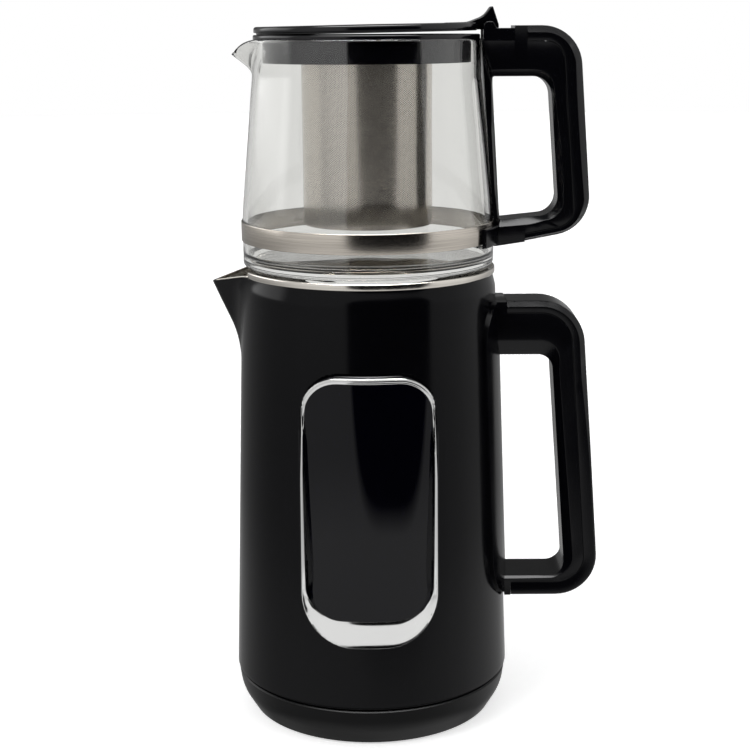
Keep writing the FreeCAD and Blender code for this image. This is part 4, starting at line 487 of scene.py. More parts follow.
def clear_glass(name, tint):
    """Blown borosilicate glass: clear, faintly grey where it is thick.

    Shadow rays pass through it, so that the strainer inside gets its light.
    """
    material, tree, shader, output = new_material(
        name, Base_Color=tint, Roughness=0.0, IOR=1.47, Transmission_Weight=1.0
    )
    shadow = add(tree, "LightPath").outputs["Is Shadow Ray"]
    see_through = add(tree, "BsdfTransparent", Color=tint)
    add(tree, "MixShader", to=output, Fac=shadow, _1=shader, _2=see_through)
    flow = noise(tree, (30.0, 30.0, 30.0), 1.0)
    add(tree, "Bump", to=shader.inputs["Normal"], Height=flow, Distance=0.15 * MM)
    return material


FINISH = {}


def make_finishes():
    """One material for each real finish of the object."""
    plastics = (
        ("shell", "gloss_black_abs", 0.13, 18.0, 0.01, 1.22),
        ("handle", "satin_black_abs", 0.2, 9.0, 0.01, 1.28),
        ("lid", "polished_black_abs", 0.1, 14.0, 0.008, 1.38),
        ("window", "black_window_acrylic", 0.03, 60.0, 0.005, 1.32),
    )
    for key, name, *values in plastics:
        FINISH[key] = gloss_plastic(name, chosen(key), *values)
    FINISH["base"] = satin_plastic("grained_black_abs", chosen("base"), 0.3, 0.7)
    FINISH["frame"] = polished_steel("satin_chrome_plate", chosen("frame"), 0.1, 0.002)
    FINISH["rim"] = polished_steel("buffed_stainless", linear("#d8d3cb"), 0.14)
    FINISH["pot"] = brushed_steel("drawn_stainless", linear("#bdb9b3"), 0.3, 0.8)
    FINISH["band"] = brushed_steel("brushed_stainless", chosen("steel"), 0.19)
    FINISH["basket"] = perforated_steel("etched_stainless", linear("#dad4cb"), 0.18, 1.1, 140.0)
    FINISH["glass"] = clear_glass("borosilicate_glass", chosen("glass"))
    FINISH["rubber"] = rubbery("black_epdm", linear("#101010"), 0.7)
    FINISH["silicone"] = rubbery("milky_silicone", linear("#c9c6c0"), 0.5)
    FINISH["aluminium"] = polished_steel("cast_aluminium", linear("#b8b8ba"), 0.45)
    FINISH["brass"] = polished_steel("turned_brass", linear("#b8924a"), 0.3)
    FINISH["zinc"] = polished_steel("zinc_plated_steel", linear("#a9abad"), 0.35)
    FINISH["board"] = satin_plastic("epoxy_glass_board", linear("#1c4a2a"), 0.45, 0.6)
    FINISH["moulding"] = satin_plastic("glass_filled_nylon", linear("#cfc9bb"), 0.5, 0.8)


# -------------------------------------------------------------------- kettle

# millimetres: heights above the underside, and radii and reaches from the axis
SEAM_HEIGHT = SHELL_LOW[2]
SHELL_TOP = 241.0
CONE_LOW, CONE_HIGH = 27.0, 236.0
SPOUT_HEIGHTS = (185.0, 209.0, 222.0, 246.0)
SPOUT_REACHES = (61.5, 70.8, 76.7, 87.0)
SPOUT_TIP = (83.0, 236.4)
SPOUT_NOSE = 5.0
SPOUT_ANGLE = np.radians(43.0)
SPOUT_WALL = 1.8
SINK_FROM = 205.0
POCKET_OUT, POCKET_IN = 65.2, 64.2
LEDGE_HEIGHT, BEAD_FOOT = 243.2, 241.2
LINING_PROUD, LINING_GAP = 0.4, 0.05
LOW_CORNER, SIDE_BOW, BOW_HEIGHT = 26.0, 0.017, 125.0
PANE_GAP, PANE_THICKNESS = 0.15, 2.0
RING_WIDTH, RING_DRAWN_IN, RING_DEPTH, RING_SOFT = 3.1, 0.9, 1.6, 0.12
OUTER_PROUD, INNER_PROUD, TOP_PROUD, FACE_PROUD = 0.35, 0.5, 0.1, 0.25
BED_DEPTH, MOAT_DEPTH = 3.0, 1.7
SADDLE_SIDE, SADDLE_CORNER, SADDLE_THICKNESS = 34.0, 22.0, 1.5


def cone_radius(height, s):
    """Radius of the kettle's tapering wall: a straight line over the height."""
    share = (height - CONE_LOW) / (CONE_HIGH - CONE_LOW)
    return s.shell_low_radius + share * (s.shell_high_radius - s.shell_low_radius)


def beak_radius(turn, reach, nose, angle):
    """Distance from the axis to a rounded wedge, at a turn from its nose.

    The nose is a circle of radius `nose` centred on the wedge's middle line;
    past the point where its sides touch that circle, the side is a straight
    line, whose distance along a ray is d / sin(turn + angle).
    """
    turn = np.abs(turn)
    middle = reach - nose
    touch = np.arctan2(nose * np.cos(angle), middle + nose * np.sin(angle))
    side = (middle * np.sin(angle) + nose) / np.maximum(np.sin(turn + angle), 0.2)
    under = np.maximum(nose ** 2 - (middle * np.sin(turn)) ** 2, 0)
    tip = middle * np.cos(turn) + np.sqrt(under)
    radius = np.where(turn < touch, tip, side)
    return np.where(turn < np.pi / 2 - angle, radius, 0)


def spout_reach(height):
    """The kettle spout's nose from the axis: a cubic through its sections."""
    kept = np.clip(height, SPOUT_HEIGHTS[0], SPOUT_HEIGHTS[-1])
    return np.polyval(np.polyfit(SPOUT_HEIGHTS, SPOUT_REACHES, 3), kept)


def spout_radius(turn, height, inset):
    """Wedge of the kettle's spout, its sides moved in by the inset."""
    reach = spout_reach(height) - inset
    return beak_radius(turn, reach, SPOUT_NOSE - inset, SPOUT_ANGLE)


def spout_edge(turn, wall, s):
    """Height of the kettle's edge: level, then a straight fall to the spout's tip.

    How far the edge has fallen depends on how far out the wall is there, and
    that on the height, so the two are worked out by turns.
    """
    edge = np.full_like(turn, SHELL_TOP)
    fall = (SHELL_TOP - SPOUT_TIP[1]) / (SPOUT_TIP[0] - s.shell_top_radius)
    for _ in range(5):
        out = np.maximum(wall(turn, edge) * np.cos(turn) - s.shell_top_radius, 0)
        edge = SHELL_TOP - out * fall
    return edge


def sunk(rows, top):
    """Heights of rings: from SINK_FROM up they run in shares to the top line."""
    share = np.maximum(rows - SINK_FROM, 0)[:, None] / (SHELL_TOP - SINK_FROM)
    return np.where(share > 0, SINK_FROM + share * (top - SINK_FROM), rows[:, None] + 0 * top)


def turn_columns(front=30):
    """Angles from the spout, counter-clockwise, from it and back to it.

    They lie closer at the spout and, by the number asked for, at the window.
    """
    parts = [
        np.linspace(-28, 28, 85), np.linspace(30, 54, 13), np.linspace(56, 124, front),
        np.linspace(128, 324, 50), np.array([328.0, 332.0]),
    ]
    turn = np.radians(np.concatenate(parts))
    return np.where(turn > np.pi, turn - 2 * np.pi, turn)


def polar(turn, radius, height):
    """Points at a turn from -X towards -Y, a radius and a height."""
    return np.stack([-radius * np.cos(turn), -radius * np.sin(turn), height + 0 * turn], axis=-1)


def shell_surface(turn, height, s, inset=0.0, wall=0.0):
    """Radius of the shell: the larger of cone and spout, blended over 6 mm.

    The shoulder draws the cone in over its last 8 mm, and the lower edge has
    a small round.
    """
    shoulder = smooth_step(height, CONE_HIGH - 3, SHELL_TOP + 3)
    drop = cone_radius(SHELL_TOP, s) - s.shell_top_radius
    edge = 0.8 * smooth_step(SEAM_HEIGHT + 1.0 - height, 0, 1.0)
    body = cone_radius(height, s) - shoulder * 1.4 * drop - edge - wall
    return smooth_max(body, spout_radius(turn, height, inset), 6.0)


def window_hole(points, s, margin):
    """True where a point lies in the window's opening, seen from the front."""
    low, high = BEZEL_LOW[2] + margin, BEZEL_HIGH[2] - margin
    side = BEZEL_HIGH[0] - margin
    z = points[..., 2]
    x = np.abs(points[..., 0]) / bow(z)
    bend = np.where(z < BOW_HEIGHT, LOW_CORNER, s.window_corner + s.trim_corner) - margin
    over_x = np.maximum(x - (side - bend), 0)
    over_z = np.maximum(np.maximum(low + bend - z, z - (high - bend)), 0)
    return (np.hypot(over_x, over_z) < bend) & (points[..., 1] < 0)


def make_shell(s):
    """Kettle shell: outer wall up, over the edge, and the inner wall down.

    Every row is a ring of polar points; rows near the top sink towards the
    spout's edge. Behind the window's frame the wall is set back, as the
    pocket that the window sits in.
    """
    bent = turn_columns(115)
    heights = np.concatenate([
        SEAM_HEIGHT + np.array([0, 0.15, 0.4, 0.8, 1.2, 3.0]),
        np.linspace(30, 56, 12), np.arange(57, 206, 1.0), np.linspace(207, SHELL_TOP, 34),
    ])
    edge = spout_edge(bent, lambda turn, z: shell_surface(turn, z, s), s)
    z = sunk(heights, edge)
    outer = polar(bent, shell_surface(bent, z, s), z)
    z = sunk(heights[::6], edge)[::-1]
    inner = polar(bent, shell_surface(bent, z, s, SPOUT_WALL, s.shell_wall), z)
    soft = 0.35
    rim_outside = shell_surface(bent, edge, s)
    rim_inside = np.maximum(s.shell_top_radius - 3.5, spout_radius(bent, edge, SPOUT_WALL))
    rim_inside = np.minimum(rim_inside, rim_outside - soft)
    over = np.stack([
        polar(bent, rim_outside - 0.1 * soft, edge + 0.6 * soft),
        polar(bent, rim_outside - soft, edge + soft),
        polar(bent, rim_inside, edge + soft),
        polar(bent, rim_inside, edge - 2.0),
    ])
    sheet = np.concatenate([outer, over, inner[1:], outer[:1]])
    flat = np.hypot(sheet[..., 0], sheet[..., 1])
    outer_rows = np.arange(len(sheet))[:, None] < len(outer)
    pocket = np.where(outer_rows, POCKET_OUT, POCKET_IN)
    set_back = window_hole(sheet, s, 0.9) & (flat > pocket)
    sheet[..., :2] *= np.where(set_back, pocket / flat, 1.0)[..., None]
    piece = skin("kettle_shell_skin", [sheet], 32)
    dressed(piece, "shell", "kettle", "black_plastic", "kettle_shell")


def make_pot(s):
    """Steel pot: outside up, rolled rim or spout lining, and inside down.

    Away from the spout the sheet flares to a ledge and a rolled bead. At the
    spout it stands against the plastic as a lining whose edge follows the
    lip. A smooth step over five degrees leads from one to the other.
    """
    bent = turn_columns()
    ledge, floor, wall = LEDGE_HEIGHT, POT_LOW[2], s.pot_wall
    heights = np.concatenate([np.linspace(120, 185, 3)[1:], np.linspace(190, 241, 30)])
    bead_out, bead_in, bead_top = POT_HIGH[1], POT_HIGH[1] - 1.3, POT_HIGH[2]
    rim_line = rounded(
        ((s.pot_radius, ledge - wall - 1), (s.pot_radius, ledge - wall, 0.5),
         (bead_in, ledge - wall, 0.3), (bead_in, BEAD_FOOT, 0.3), (bead_out, BEAD_FOOT, 0.6),
         (bead_out, bead_top, 0.64), (bead_in, bead_top, 0.64), (bead_in, ledge, 0.3),
         (s.pot_radius - wall, ledge, 1.2), (s.pot_radius - wall, ledge - 2.5)), 5,
    )
    inset = SPOUT_WALL + LINING_GAP
    edge = LINING_PROUD + spout_edge(
        bent, lambda turn, z: np.maximum(s.shell_top_radius, spout_radius(turn, z, SPOUT_WALL)), s
    )
    foot = np.minimum(ledge - wall - 1, edge - 1)
    path = np.linspace(0, 1, len(rim_line))[:, None]
    rise = np.clip(path / 0.4, 0, 1)
    across = np.clip((path - 0.4) / 0.2, 0, 1)
    fall = np.clip((path - 0.6) / 0.4, 0, 1)
    lip_out = spout_radius(bent, edge, inset)
    lip_r = lip_out + across * (spout_radius(bent, edge, SPOUT_WALL + wall) - lip_out)
    lip_z = foot + rise * (edge - foot) - 2 * fall + 0.25 * np.sin(np.pi * across)
    at_spout = 1 - smooth_step(np.degrees(np.abs(bent)), 16.5, 21.5)
    rim_r = rim_line[:, :1] * (1 - at_spout) + np.maximum(lip_r, s.pot_radius) * at_spout
    rim_z = rim_line[:, 1:] * (1 - at_spout) + lip_z * at_spout

    def tube(radius, lift, bend):
        """The pot's lower part: floor, corner and upright wall, as rings."""
        line = rounded(((0, floor + lift), (radius, floor + lift, bend), (radius, 120.0)))
        return polar(bent, line[:, :1] + 0 * bent, line[:, 1:] + 0 * bent)

    def upper(inset, radius, rows):
        """The upper part: the larger of the pot's tube and the spout's wedge."""
        z = sunk(rows, foot)
        wedge = spout_radius(bent, z, inset)
        return polar(bent, smooth_max(radius + 0 * wedge, wedge, 2.0), z)

    sheet = np.concatenate([
        tube(s.pot_radius, 0.0, 8.0), upper(inset, s.pot_radius, heights), polar(bent, rim_r, rim_z),
        upper(SPOUT_WALL + wall, s.pot_radius - wall, heights[::-1]),
        tube(s.pot_radius - wall, wall, 7.2)[::-1],
    ])
    piece = skin("kettle_pot_skin", [sheet], 40)
    dressed(piece, "rim", "kettle", "polished_steel", "kettle_pot")


def window_outline(side, low, high, bend, low_bend, steps=12):
    """Rounded upright rectangle (x, z), counter-clockwise from its foot."""
    corners = (
        (0, low), (side, low, low_bend), (side, high, bend), (-side, high, bend),
        (-side, low, low_bend), (0, low),
    )
    return rounded(corners, steps)


def bow(height):
    """Share by which the surround's sides bow out below its middle."""
    return 1 + SIDE_BOW * (1 - smooth_step(np.abs(height - BOW_HEIGHT), 25, 55))


def frame_outline(s, extra=0.0):
    """Outer edge of the window's surround (x, z), larger by the extra."""
    line = window_outline(
        BEZEL_HIGH[0] + extra, BEZEL_LOW[2] - extra, BEZEL_HIGH[2] + extra,
        s.window_corner + s.trim_corner + extra, LOW_CORNER + extra,
    )
    return line * np.stack([bow(line[:, 1]), 1 + 0 * line[:, 1]], axis=1)


def rounded_patch(side, low, high, bend, columns, rows):
    """A grid (across, up) over a rounded upright rectangle.

    The columns lie closer at the sides, and end on the arcs of the corners:
    bend - sqrt(bend^2 - d^2), where d is how far a column is past the arc's
    centre.
    """
    across = side * np.sin(np.linspace(-0.5, 0.5, columns) * np.pi)
    over = np.maximum(np.abs(across) - (side - bend), 0)
    edge = bend - np.sqrt(np.maximum(bend ** 2 - over ** 2, 0))
    up = low + edge + np.linspace(0, 1, rows)[:, None] * (high - low - 2 * edge)
    return across + 0 * up, up


def on_wall(line, radius):
    """The outline (x, z) laid on a round wall: y = -sqrt(radius^2 - x^2)."""
    depth = -np.sqrt(radius ** 2 - line[:, 0] ** 2)
    return np.stack([line[:, 0], depth, line[:, 1]], axis=-1)


def ring(rows):
    """A closed section carried round: each row is (line in space, rise).

    The rise moves the line's points away from the kettle's axis.
    """
    out = []
    for line, rise in rows + rows[:1]:
        away = line * [1, 1, 0]
        away = away / np.linalg.norm(away, axis=1, keepdims=True)
        out.append(line + away * np.reshape(rise, (-1, 1)))
    return np.stack(out)


def make_window(s):
    """Window, its chrome ring and the gloss black surround that carries it.

    The surround's outer edge follows the tapering shell and its inner edge
    the upright window. The ring on it is a narrow strip at the sides and the
    top and opens to a broad crescent below, whose face falls in a straight
    line from the shell to the window. Above the ring the surround dips in a
    moat, whose floor slopes up to the ring.
    """
    side, low, high = WINDOW_HIGH[0], WINDOW_LOW[2], WINDOW_HIGH[2]
    x, z = rounded_patch(side, low, high, s.window_corner, 65, 31)
    y = -np.sqrt(s.window_radius ** 2 - x ** 2)
    pane = skin("touch_window", [np.stack([x, y, z], axis=-1)])
    thickened(pane, PANE_THICKNESS)
    bevelled(pane, 0.5)
    dressed(pane, "window", "kettle", "dark_window", "front_panel")

    gap = PANE_GAP
    corner = s.window_corner + gap
    inner = window_outline(side + gap, low - gap, high + gap, corner, corner)
    inner, outer, shore = divided([inner, frame_outline(s), frame_outline(s, 0.5)], 3.0)
    width = np.linalg.norm(outer - inner, axis=1)
    aim = (outer - inner) / width[:, None]
    up = outer[:, 1]
    # near and far: the edges of the ring's face, measured from the window's edge
    at_top = smooth_step(up, 158, 186)
    at_foot = 1 - smooth_step(up, 58, 96)
    near = (1.15 - 0.15 * at_top) * (1 - at_foot)
    drawn_in = width - RING_DRAWN_IN * smooth_step(up, 140, 172)
    far = np.where(up > BOW_HEIGHT, np.minimum(drawn_in, RING_WIDTH), width)
    flat = 1 - 0.94 * at_foot

    def across(distance, radius):
        """The line at a distance from the window's edge, on a round wall."""
        return on_wall(inner + aim * np.reshape(distance, (-1, 1)), radius)

    # at the top the ring stands level, in front of the window; elsewhere it follows the wall
    wall = cone_radius(up, s)
    face = s.window_radius + FACE_PROUD
    level = (face + TOP_PROUD) * at_top
    ring_out = (wall + OUTER_PROUD) * (1 - at_top) + level
    ring_in = ((wall + INNER_PROUD) * (1 - at_top) + level) * (1 - at_foot) + face * at_foot
    soft = RING_SOFT
    rows = [(across(far, ring_out), -RING_DEPTH), (across(far, ring_out), -soft * flat)]
    # a bead, which stands up at the top only
    for place, lift in ((soft, 0.1), (0.3, 0.26), (0.5, 0.32), (0.7, 0.26), (0.9, 0.1), (1.0, 0.0)):
        rows.append((across(far - place * flat, ring_out), lift * at_top))
    # the face, in a straight line
    for share in (0.2, 0.4, 0.6, 0.8, 1.0):
        place = (far - flat) * (1 - share) + (near + soft) * share
        rows.append((across(place, ring_out + share * (ring_in - ring_out)), 0.0))
    # a roll down to the window, also at the top only
    roll = ((1.0, -0.04), (0.75, 0.0), (0.5, 0.12), (0.25, 0.1), (0.08, -0.1), (0.0, -0.3))
    for share, lift in roll:
        radius = face + share * (ring_in - face)
        rows.append((across(near * share, radius), lift * at_top))
    rows.append((across(0.0, face + 0 * wall), -BED_DEPTH))
    trim = skin("window_trim", [ring(rows)], 50)
    dressed(trim, "frame", "kettle", "chrome_trim", "panel_frame")

    edge = on_wall(shore, cone_radius(shore[:, 1], s))
    rows = [(edge, -1.5), (edge, 0.0), (across(width, wall), 0.1 - 0.3 * at_top)]
    floor = np.minimum(wall, ring_out) - MOAT_DEPTH * at_top
    moat = (
        (0.12, 0.0), (0.16, 0.02), (0.4, 0.32), (0.65, 0.64), (0.85, 0.9), (0.9, 0.95), (1.0, 0.95),
    )
    for share, rise in moat:
        place = width + share * (far - width)
        rows.append((across(place, floor + rise * (ring_out - floor)), 0.0))
    rows += [(across(far, ring_out), -0.6), (across(0.0, face + 0 * wall), -0.6),
             (across(0.0, face + 0 * wall), -BED_DEPTH)]
    bed = skin("window_surround", [ring(rows)], 50)
    dressed(bed, "lid", "kettle", "black_plastic")


def make_mount(s):
    """Saddle plate on the shell: a rounded rectangle (y, z) on the cone."""
    low, high = MOUNT_LOW[2], MOUNT_HIGH[2]
    y, z = rounded_patch(SADDLE_SIDE, low, high, SADDLE_CORNER, 61, 41)
    x = np.sqrt((cone_radius(z, s) + SADDLE_THICKNESS) ** 2 - y ** 2)
    sheet = np.stack([x, y, z], axis=-1)
    piece = skin("handle_saddle", [sheet])
    thickened(piece, SADDLE_THICKNESS + 0.2)
    bevelled(piece, 0.7, 3)
    dressed(piece, "handle", "kettle", "black_plastic", "handle_mount")


GRIP_TOP, GRIP_BOTTOM = 226.5, 63.4
GRIP_TOP_REACH, GRIP_BOTTOM_REACH = 113.2, 124.7
HOLE_TOP, HOLE_BOTTOM = 197.2, 74.2
HOLE_TOP_REACH, HOLE_BOTTOM_REACH, HOLE_CORNER = 97.4, 106.3, 8.0
CAP_HIGH_START, CAP_LOW_START = 73.0, 76.7
OUTER_ROUNDS, SEAM_ROUNDS = (24.0, 22.0), (17.0, 15.0)
CAP_DEPTH, CAP_SIDE, CAP_LOW_DEPTH = 6.0, 7.0, 7.4
CAP_GAP, CAP_FIT = 0.2, 0.15


def straight(height, low, low_reach, high, high_reach):
    """Reach at a height on the straight line between two points."""
    return low_reach + (height - low) / (high - low) * (high_reach - low_reach)


def grip_reach(height):
    """Outer edge of the kettle's handle."""
    return straight(height, GRIP_BOTTOM, GRIP_BOTTOM_REACH, GRIP_TOP, GRIP_TOP_REACH)


def hold_off(sheet, contact):
    """Push points out along X to a round wall that they would cut into."""
    near = np.sqrt(np.maximum(contact(sheet[..., 2]) ** 2 - sheet[..., 1] ** 2, 0)) - 0.3
    sheet[..., 0] = np.maximum(sheet[..., 0], near)
    return sheet


def make_kettle_handle(s):
    """Kettle handle: an inner half round the finger opening and an outer cap.

    The inner half steps down under the cap at its two seams. Both of its lines
    have a point for each corner of the other, so some points stand twice.
    """
    start = s.shell_high_radius - 1.0
    top, low = GRIP_TOP - CAP_DEPTH, GRIP_BOTTOM + CAP_LOW_DEPTH
    high_seam, low_seam = CAP_HIGH_START - CAP_GAP, CAP_LOW_START - CAP_GAP
    inner = (
        (start, HOLE_TOP), (high_seam, HOLE_TOP), (high_seam, HOLE_TOP),
        (HOLE_TOP_REACH, HOLE_TOP, HOLE_CORNER),
        (HOLE_BOTTOM_REACH, HOLE_BOTTOM, HOLE_CORNER),
        (low_seam, HOLE_BOTTOM), (low_seam, HOLE_BOTTOM), (start, HOLE_BOTTOM),
    )
    outer = (
        (start, GRIP_TOP), (high_seam, GRIP_TOP), (high_seam, top),
        (grip_reach(top) - CAP_SIDE, top, SEAM_ROUNDS[0]),
        (grip_reach(low) - CAP_SIDE, low, SEAM_ROUNDS[1]),
        (low_seam, low), (low_seam, GRIP_BOTTOM), (start, GRIP_BOTTOM),
    )
    lines = divided([rounded(inner, 10), rounded(outer, 10)], 6.0)
    near = bevel_line(s.grip_bevel, 0.7)
    up = lines[0][:, 1]
    stretch = 1 + 0.7 * smooth_step(up, 186, 197) - 0.75 * (1 - smooth_step(up, 74, 84))
    sheet = loop_grip(
        *lines, near, round_line(0.3), s.grip_width / 2, (stretch, 1 + 0 * up)
    )
    sheet = hold_off(sheet, lambda z: cone_radius(z, s) + SADDLE_THICKNESS)
    piece = skin("kettle_grip_inner", [capped(sheet)], 30)
    dressed(piece, "handle", "kettle", "black_plastic", "kettle_handle_frame")

    gap = CAP_FIT
    inner = (
        (CAP_HIGH_START, top + gap),
        (grip_reach(top) - CAP_SIDE + gap, top + gap, SEAM_ROUNDS[0]),
        (grip_reach(low) - CAP_SIDE + gap, low - gap, SEAM_ROUNDS[1]),
        (CAP_LOW_START, low - gap),
    )
    outer = (
        (CAP_HIGH_START, GRIP_TOP), (GRIP_TOP_REACH, GRIP_TOP, OUTER_ROUNDS[0]),
        (GRIP_BOTTOM_REACH, GRIP_BOTTOM, OUTER_ROUNDS[1]), (CAP_LOW_START, GRIP_BOTTOM),
    )
    lines = divided([rounded(inner, 12), rounded(outer, 12)], 6.0)
    far = bevel_line(s.grip_edge, 0.9)[::-1]
    near = round_line(0.3)[::-1]
    crisp = 1 - 0.7 * (1 - smooth_step(lines[1][:, 1], 130, 205))
    sheet = loop_grip(*lines, near, far, s.grip_width / 2, (1 + 0 * crisp, crisp))
    piece = skin("kettle_grip_cap", [capped(sheet)], 30)
    dressed(piece, "handle", "kettle", "black_plastic", "kettle_handle_cover")


def make_base(s):
    """Power base: a bowl with a dished deck, turned from one closed profile."""
    top, floor, wall = BASE_HIGH[2], BASE_LOW[2], 2.4
    deck, under, hole, seat = 20.0, 17.6, 16.95, 60.15
    profile = rounded((
        (seat, floor, 0.0), (s.base_foot_radius, floor, 0.4), (72.8, 12.0, 20.0),
        (s.base_radius, top - 0.8, 0.3), (s.base_radius - 0.8, top, 0.5),
        (s.base_radius - 7.0, top, 0.5), (s.base_radius - 7.8, deck, 0.8), (hole, deck, 0.3),
        (hole, under), (s.base_radius - wall, under), (72.4 - wall, 12.0), (64.5, 5.2),
        (57.0, 5.2), (57.0, 3.2), (seat, 3.2),
    ), 6)
    piece = skin("base_bowl", [turned(closed(profile))], 30)
    dressed(piece, "base", "base", "base_plastic", "base_housing")


# -------------------------------------------------------------------- teapot

# millimetres, as for the kettle
JUG_TOP = 361.8
JUG_FOOT = cad_box("teapot_glass")[0][2]
LIP_HEIGHTS = (345.0, 350.5, 357.0, 363.0)
LIP_REACHES = (57.0, 64.0, 72.5, 77.0)
LIP_TIP = (69.2, 353.2)
LIP_NOSE, LIP_ROOT, LIP_BLEND, LIP_DROP = 5.0, 55.0, 4.0, 0.5
LIP_ANGLE = np.radians(40.0)
NECK_FROM, NECK_RADIUS, FOOT_RADIUS = 340.0, 59.1, 62.6


def jug_line(s, inset, low):
    """Half section (radius, height) of the jug's wall from its foot up."""
    corners = (
        (0, low), (FOOT_RADIUS - inset, low, 0.3), (s.jug_radius - inset, low + 3.7, 3.2),
        (s.jug_radius - inset, 272.0, 160.0), (59.4 - inset, 344.0, 30.0),
        (NECK_RADIUS - inset, JUG_TOP),
    )
    return rounded(corners, 10)


def jug_radius(height, s):
    """Outer radius of the jug at a height, read off its half section."""
    line = jug_line(s, 0.0, JUG_FOOT)[11:]
    return np.interp(height, line[:, 1], line[:, 0])


def jug_lip_radius(turn, height, inset):
    """Wedge of the jug's pinched spout."""
    reach = np.interp(height, LIP_HEIGHTS, LIP_REACHES) - inset
    return beak_radius(turn, reach, LIP_NOSE - inset, LIP_ANGLE)


def jug_edge(turn, radius):
    """Height of the jug's rim: a quarter ellipse falls to the spout's tip."""
    out = np.clip((radius * np.cos(turn) - LIP_ROOT) / (LIP_TIP[0] - LIP_ROOT), 0, 1)
    return LIP_TIP[1] + (JUG_TOP - LIP_TIP[1]) * np.sqrt(1 - out ** 2)


def make_jug(s):
    """Blown glass jug: outside up, over the fire-polished rim, inside down.

    Near the rim each wall is the larger of the jug's round neck and the
    spout's wedge, blended by 4 mm, and the rim follows the spout's edge.
    """
    bent = turn_columns()
    edge = np.full_like(bent, JUG_TOP)
    for _ in range(12):
        radius = smooth_max(NECK_RADIUS + 0 * bent, jug_lip_radius(bent, edge, 0.0), LIP_BLEND)
        edge = 0.5 * edge + 0.5 * jug_edge(bent, radius)
    share = np.linspace(0, 1, 26)[:, None]
    z = NECK_FROM + share * (edge - NECK_FROM)

    def neck(inset, z):
        """Radius of neck and spout at one inset from the outside."""
        round_part = jug_radius(z, s) - inset
        return smooth_max(round_part, jug_lip_radius(bent, z, inset), LIP_BLEND)

    def lower(inset, low):
        """The plain turned part of a wall, as rings."""
        line = divided([jug_line(s, inset, low)], 6.0)[0]
        line = line[line[:, 1] < NECK_FROM - 1]
        return polar(bent, line[:, :1] + 0 * bent, line[:, 1:] + 0 * bent)

    wall = s.jug_wall
    angle = np.linspace(0, np.pi, 9)[1:-1, None]
    lip_r = neck(wall / 2, edge) + wall / 2 * np.cos(angle)
    lip_z = edge + wall / 2 * 0.9 * np.sin(angle)
    down = z[::-1]
    sheet = np.concatenate([
        lower(0.0, JUG_FOOT), polar(bent, neck(0.0, z), z - LIP_DROP),
        polar(bent, lip_r, lip_z - LIP_DROP), polar(bent, neck(wall, down), down - LIP_DROP),
        lower(wall, JUG_FOOT + s.jug_floor)[::-1],
    ])
    piece = skin("glass_jug", [sheet], 60)
    dressed(piece, "glass", "teapot", "clear_glass", "teapot_glass")


def make_band(s):
    """Steel strap: a thin turned ring with rolled edges and a shallow crown."""
    low, high = BAND_LOW[2], BAND_HIGH[2]
    inner = s.jug_radius + 0.03
    outer = BAND_HIGH[1]
    profile = rounded((
        (inner, low, 0.0), (outer - 0.02, low, 0.3), (outer, (low + high) / 2),
        (outer - 0.02, high, 0.3), (inner, high, 0.0),
    ), 4)
    piece = skin("teapot_strap", [turned(closed(profile))], 40)
    dressed(piece, "band", "teapot", "brushed_steel", "teapot_band")


ARM_TOP, ARM_BOTTOM, ARM_FOOT = 368.5, 264.6, 255.6
ARM_TOP_REACH, ARM_BOTTOM_REACH = 109.3, 117.0
ARM_FOOT_REACH = 69.5
SADDLE_FOOT = 257.2
GAP_TOP, GAP_BOTTOM, GAP_SLOPE = 343.0, 272.2, 0.1
GAP_TOP_REACH, GAP_BOTTOM_REACH, GAP_FOOT_REACH = 94.4, 99.7, 69.0
GAP_CORNER, ARM_SEAM_ROUNDS, ARM_OUTER_ROUNDS = 10.0, (9.5, 9.0), (21.0, 20.0)
SADDLE_TURN, SADDLE_TOP, SADDLE_DEPTH = 29.0, 267.0, 2.4
ARM_SEAM = 82.2
ARM_CAP_DEPTH, ARM_CAP_SIDE, ARM_CAP_LOW = 7.9, 9.5, 4.4
POCKET_FLOOR, POCKET_END = 361.6, 75.5
HINGE = (62.3, 368.3)


def arm_reach(height):
    """Outer edge of the teapot's handle."""
    return straight(height, ARM_BOTTOM, ARM_BOTTOM_REACH, ARM_TOP, ARM_TOP_REACH)


def gap_floor(reach):
    """Sloping floor of the teapot handle's finger opening."""
    return GAP_BOTTOM - (GAP_BOTTOM_REACH - reach) * GAP_SLOPE


def belly_height(reach):
    """Sloping underside of the teapot handle's lower arm."""
    share = (reach - ARM_FOOT_REACH) / (ARM_BOTTOM_REACH - ARM_FOOT_REACH)
    return ARM_FOOT + share * (ARM_BOTTOM - ARM_FOOT)


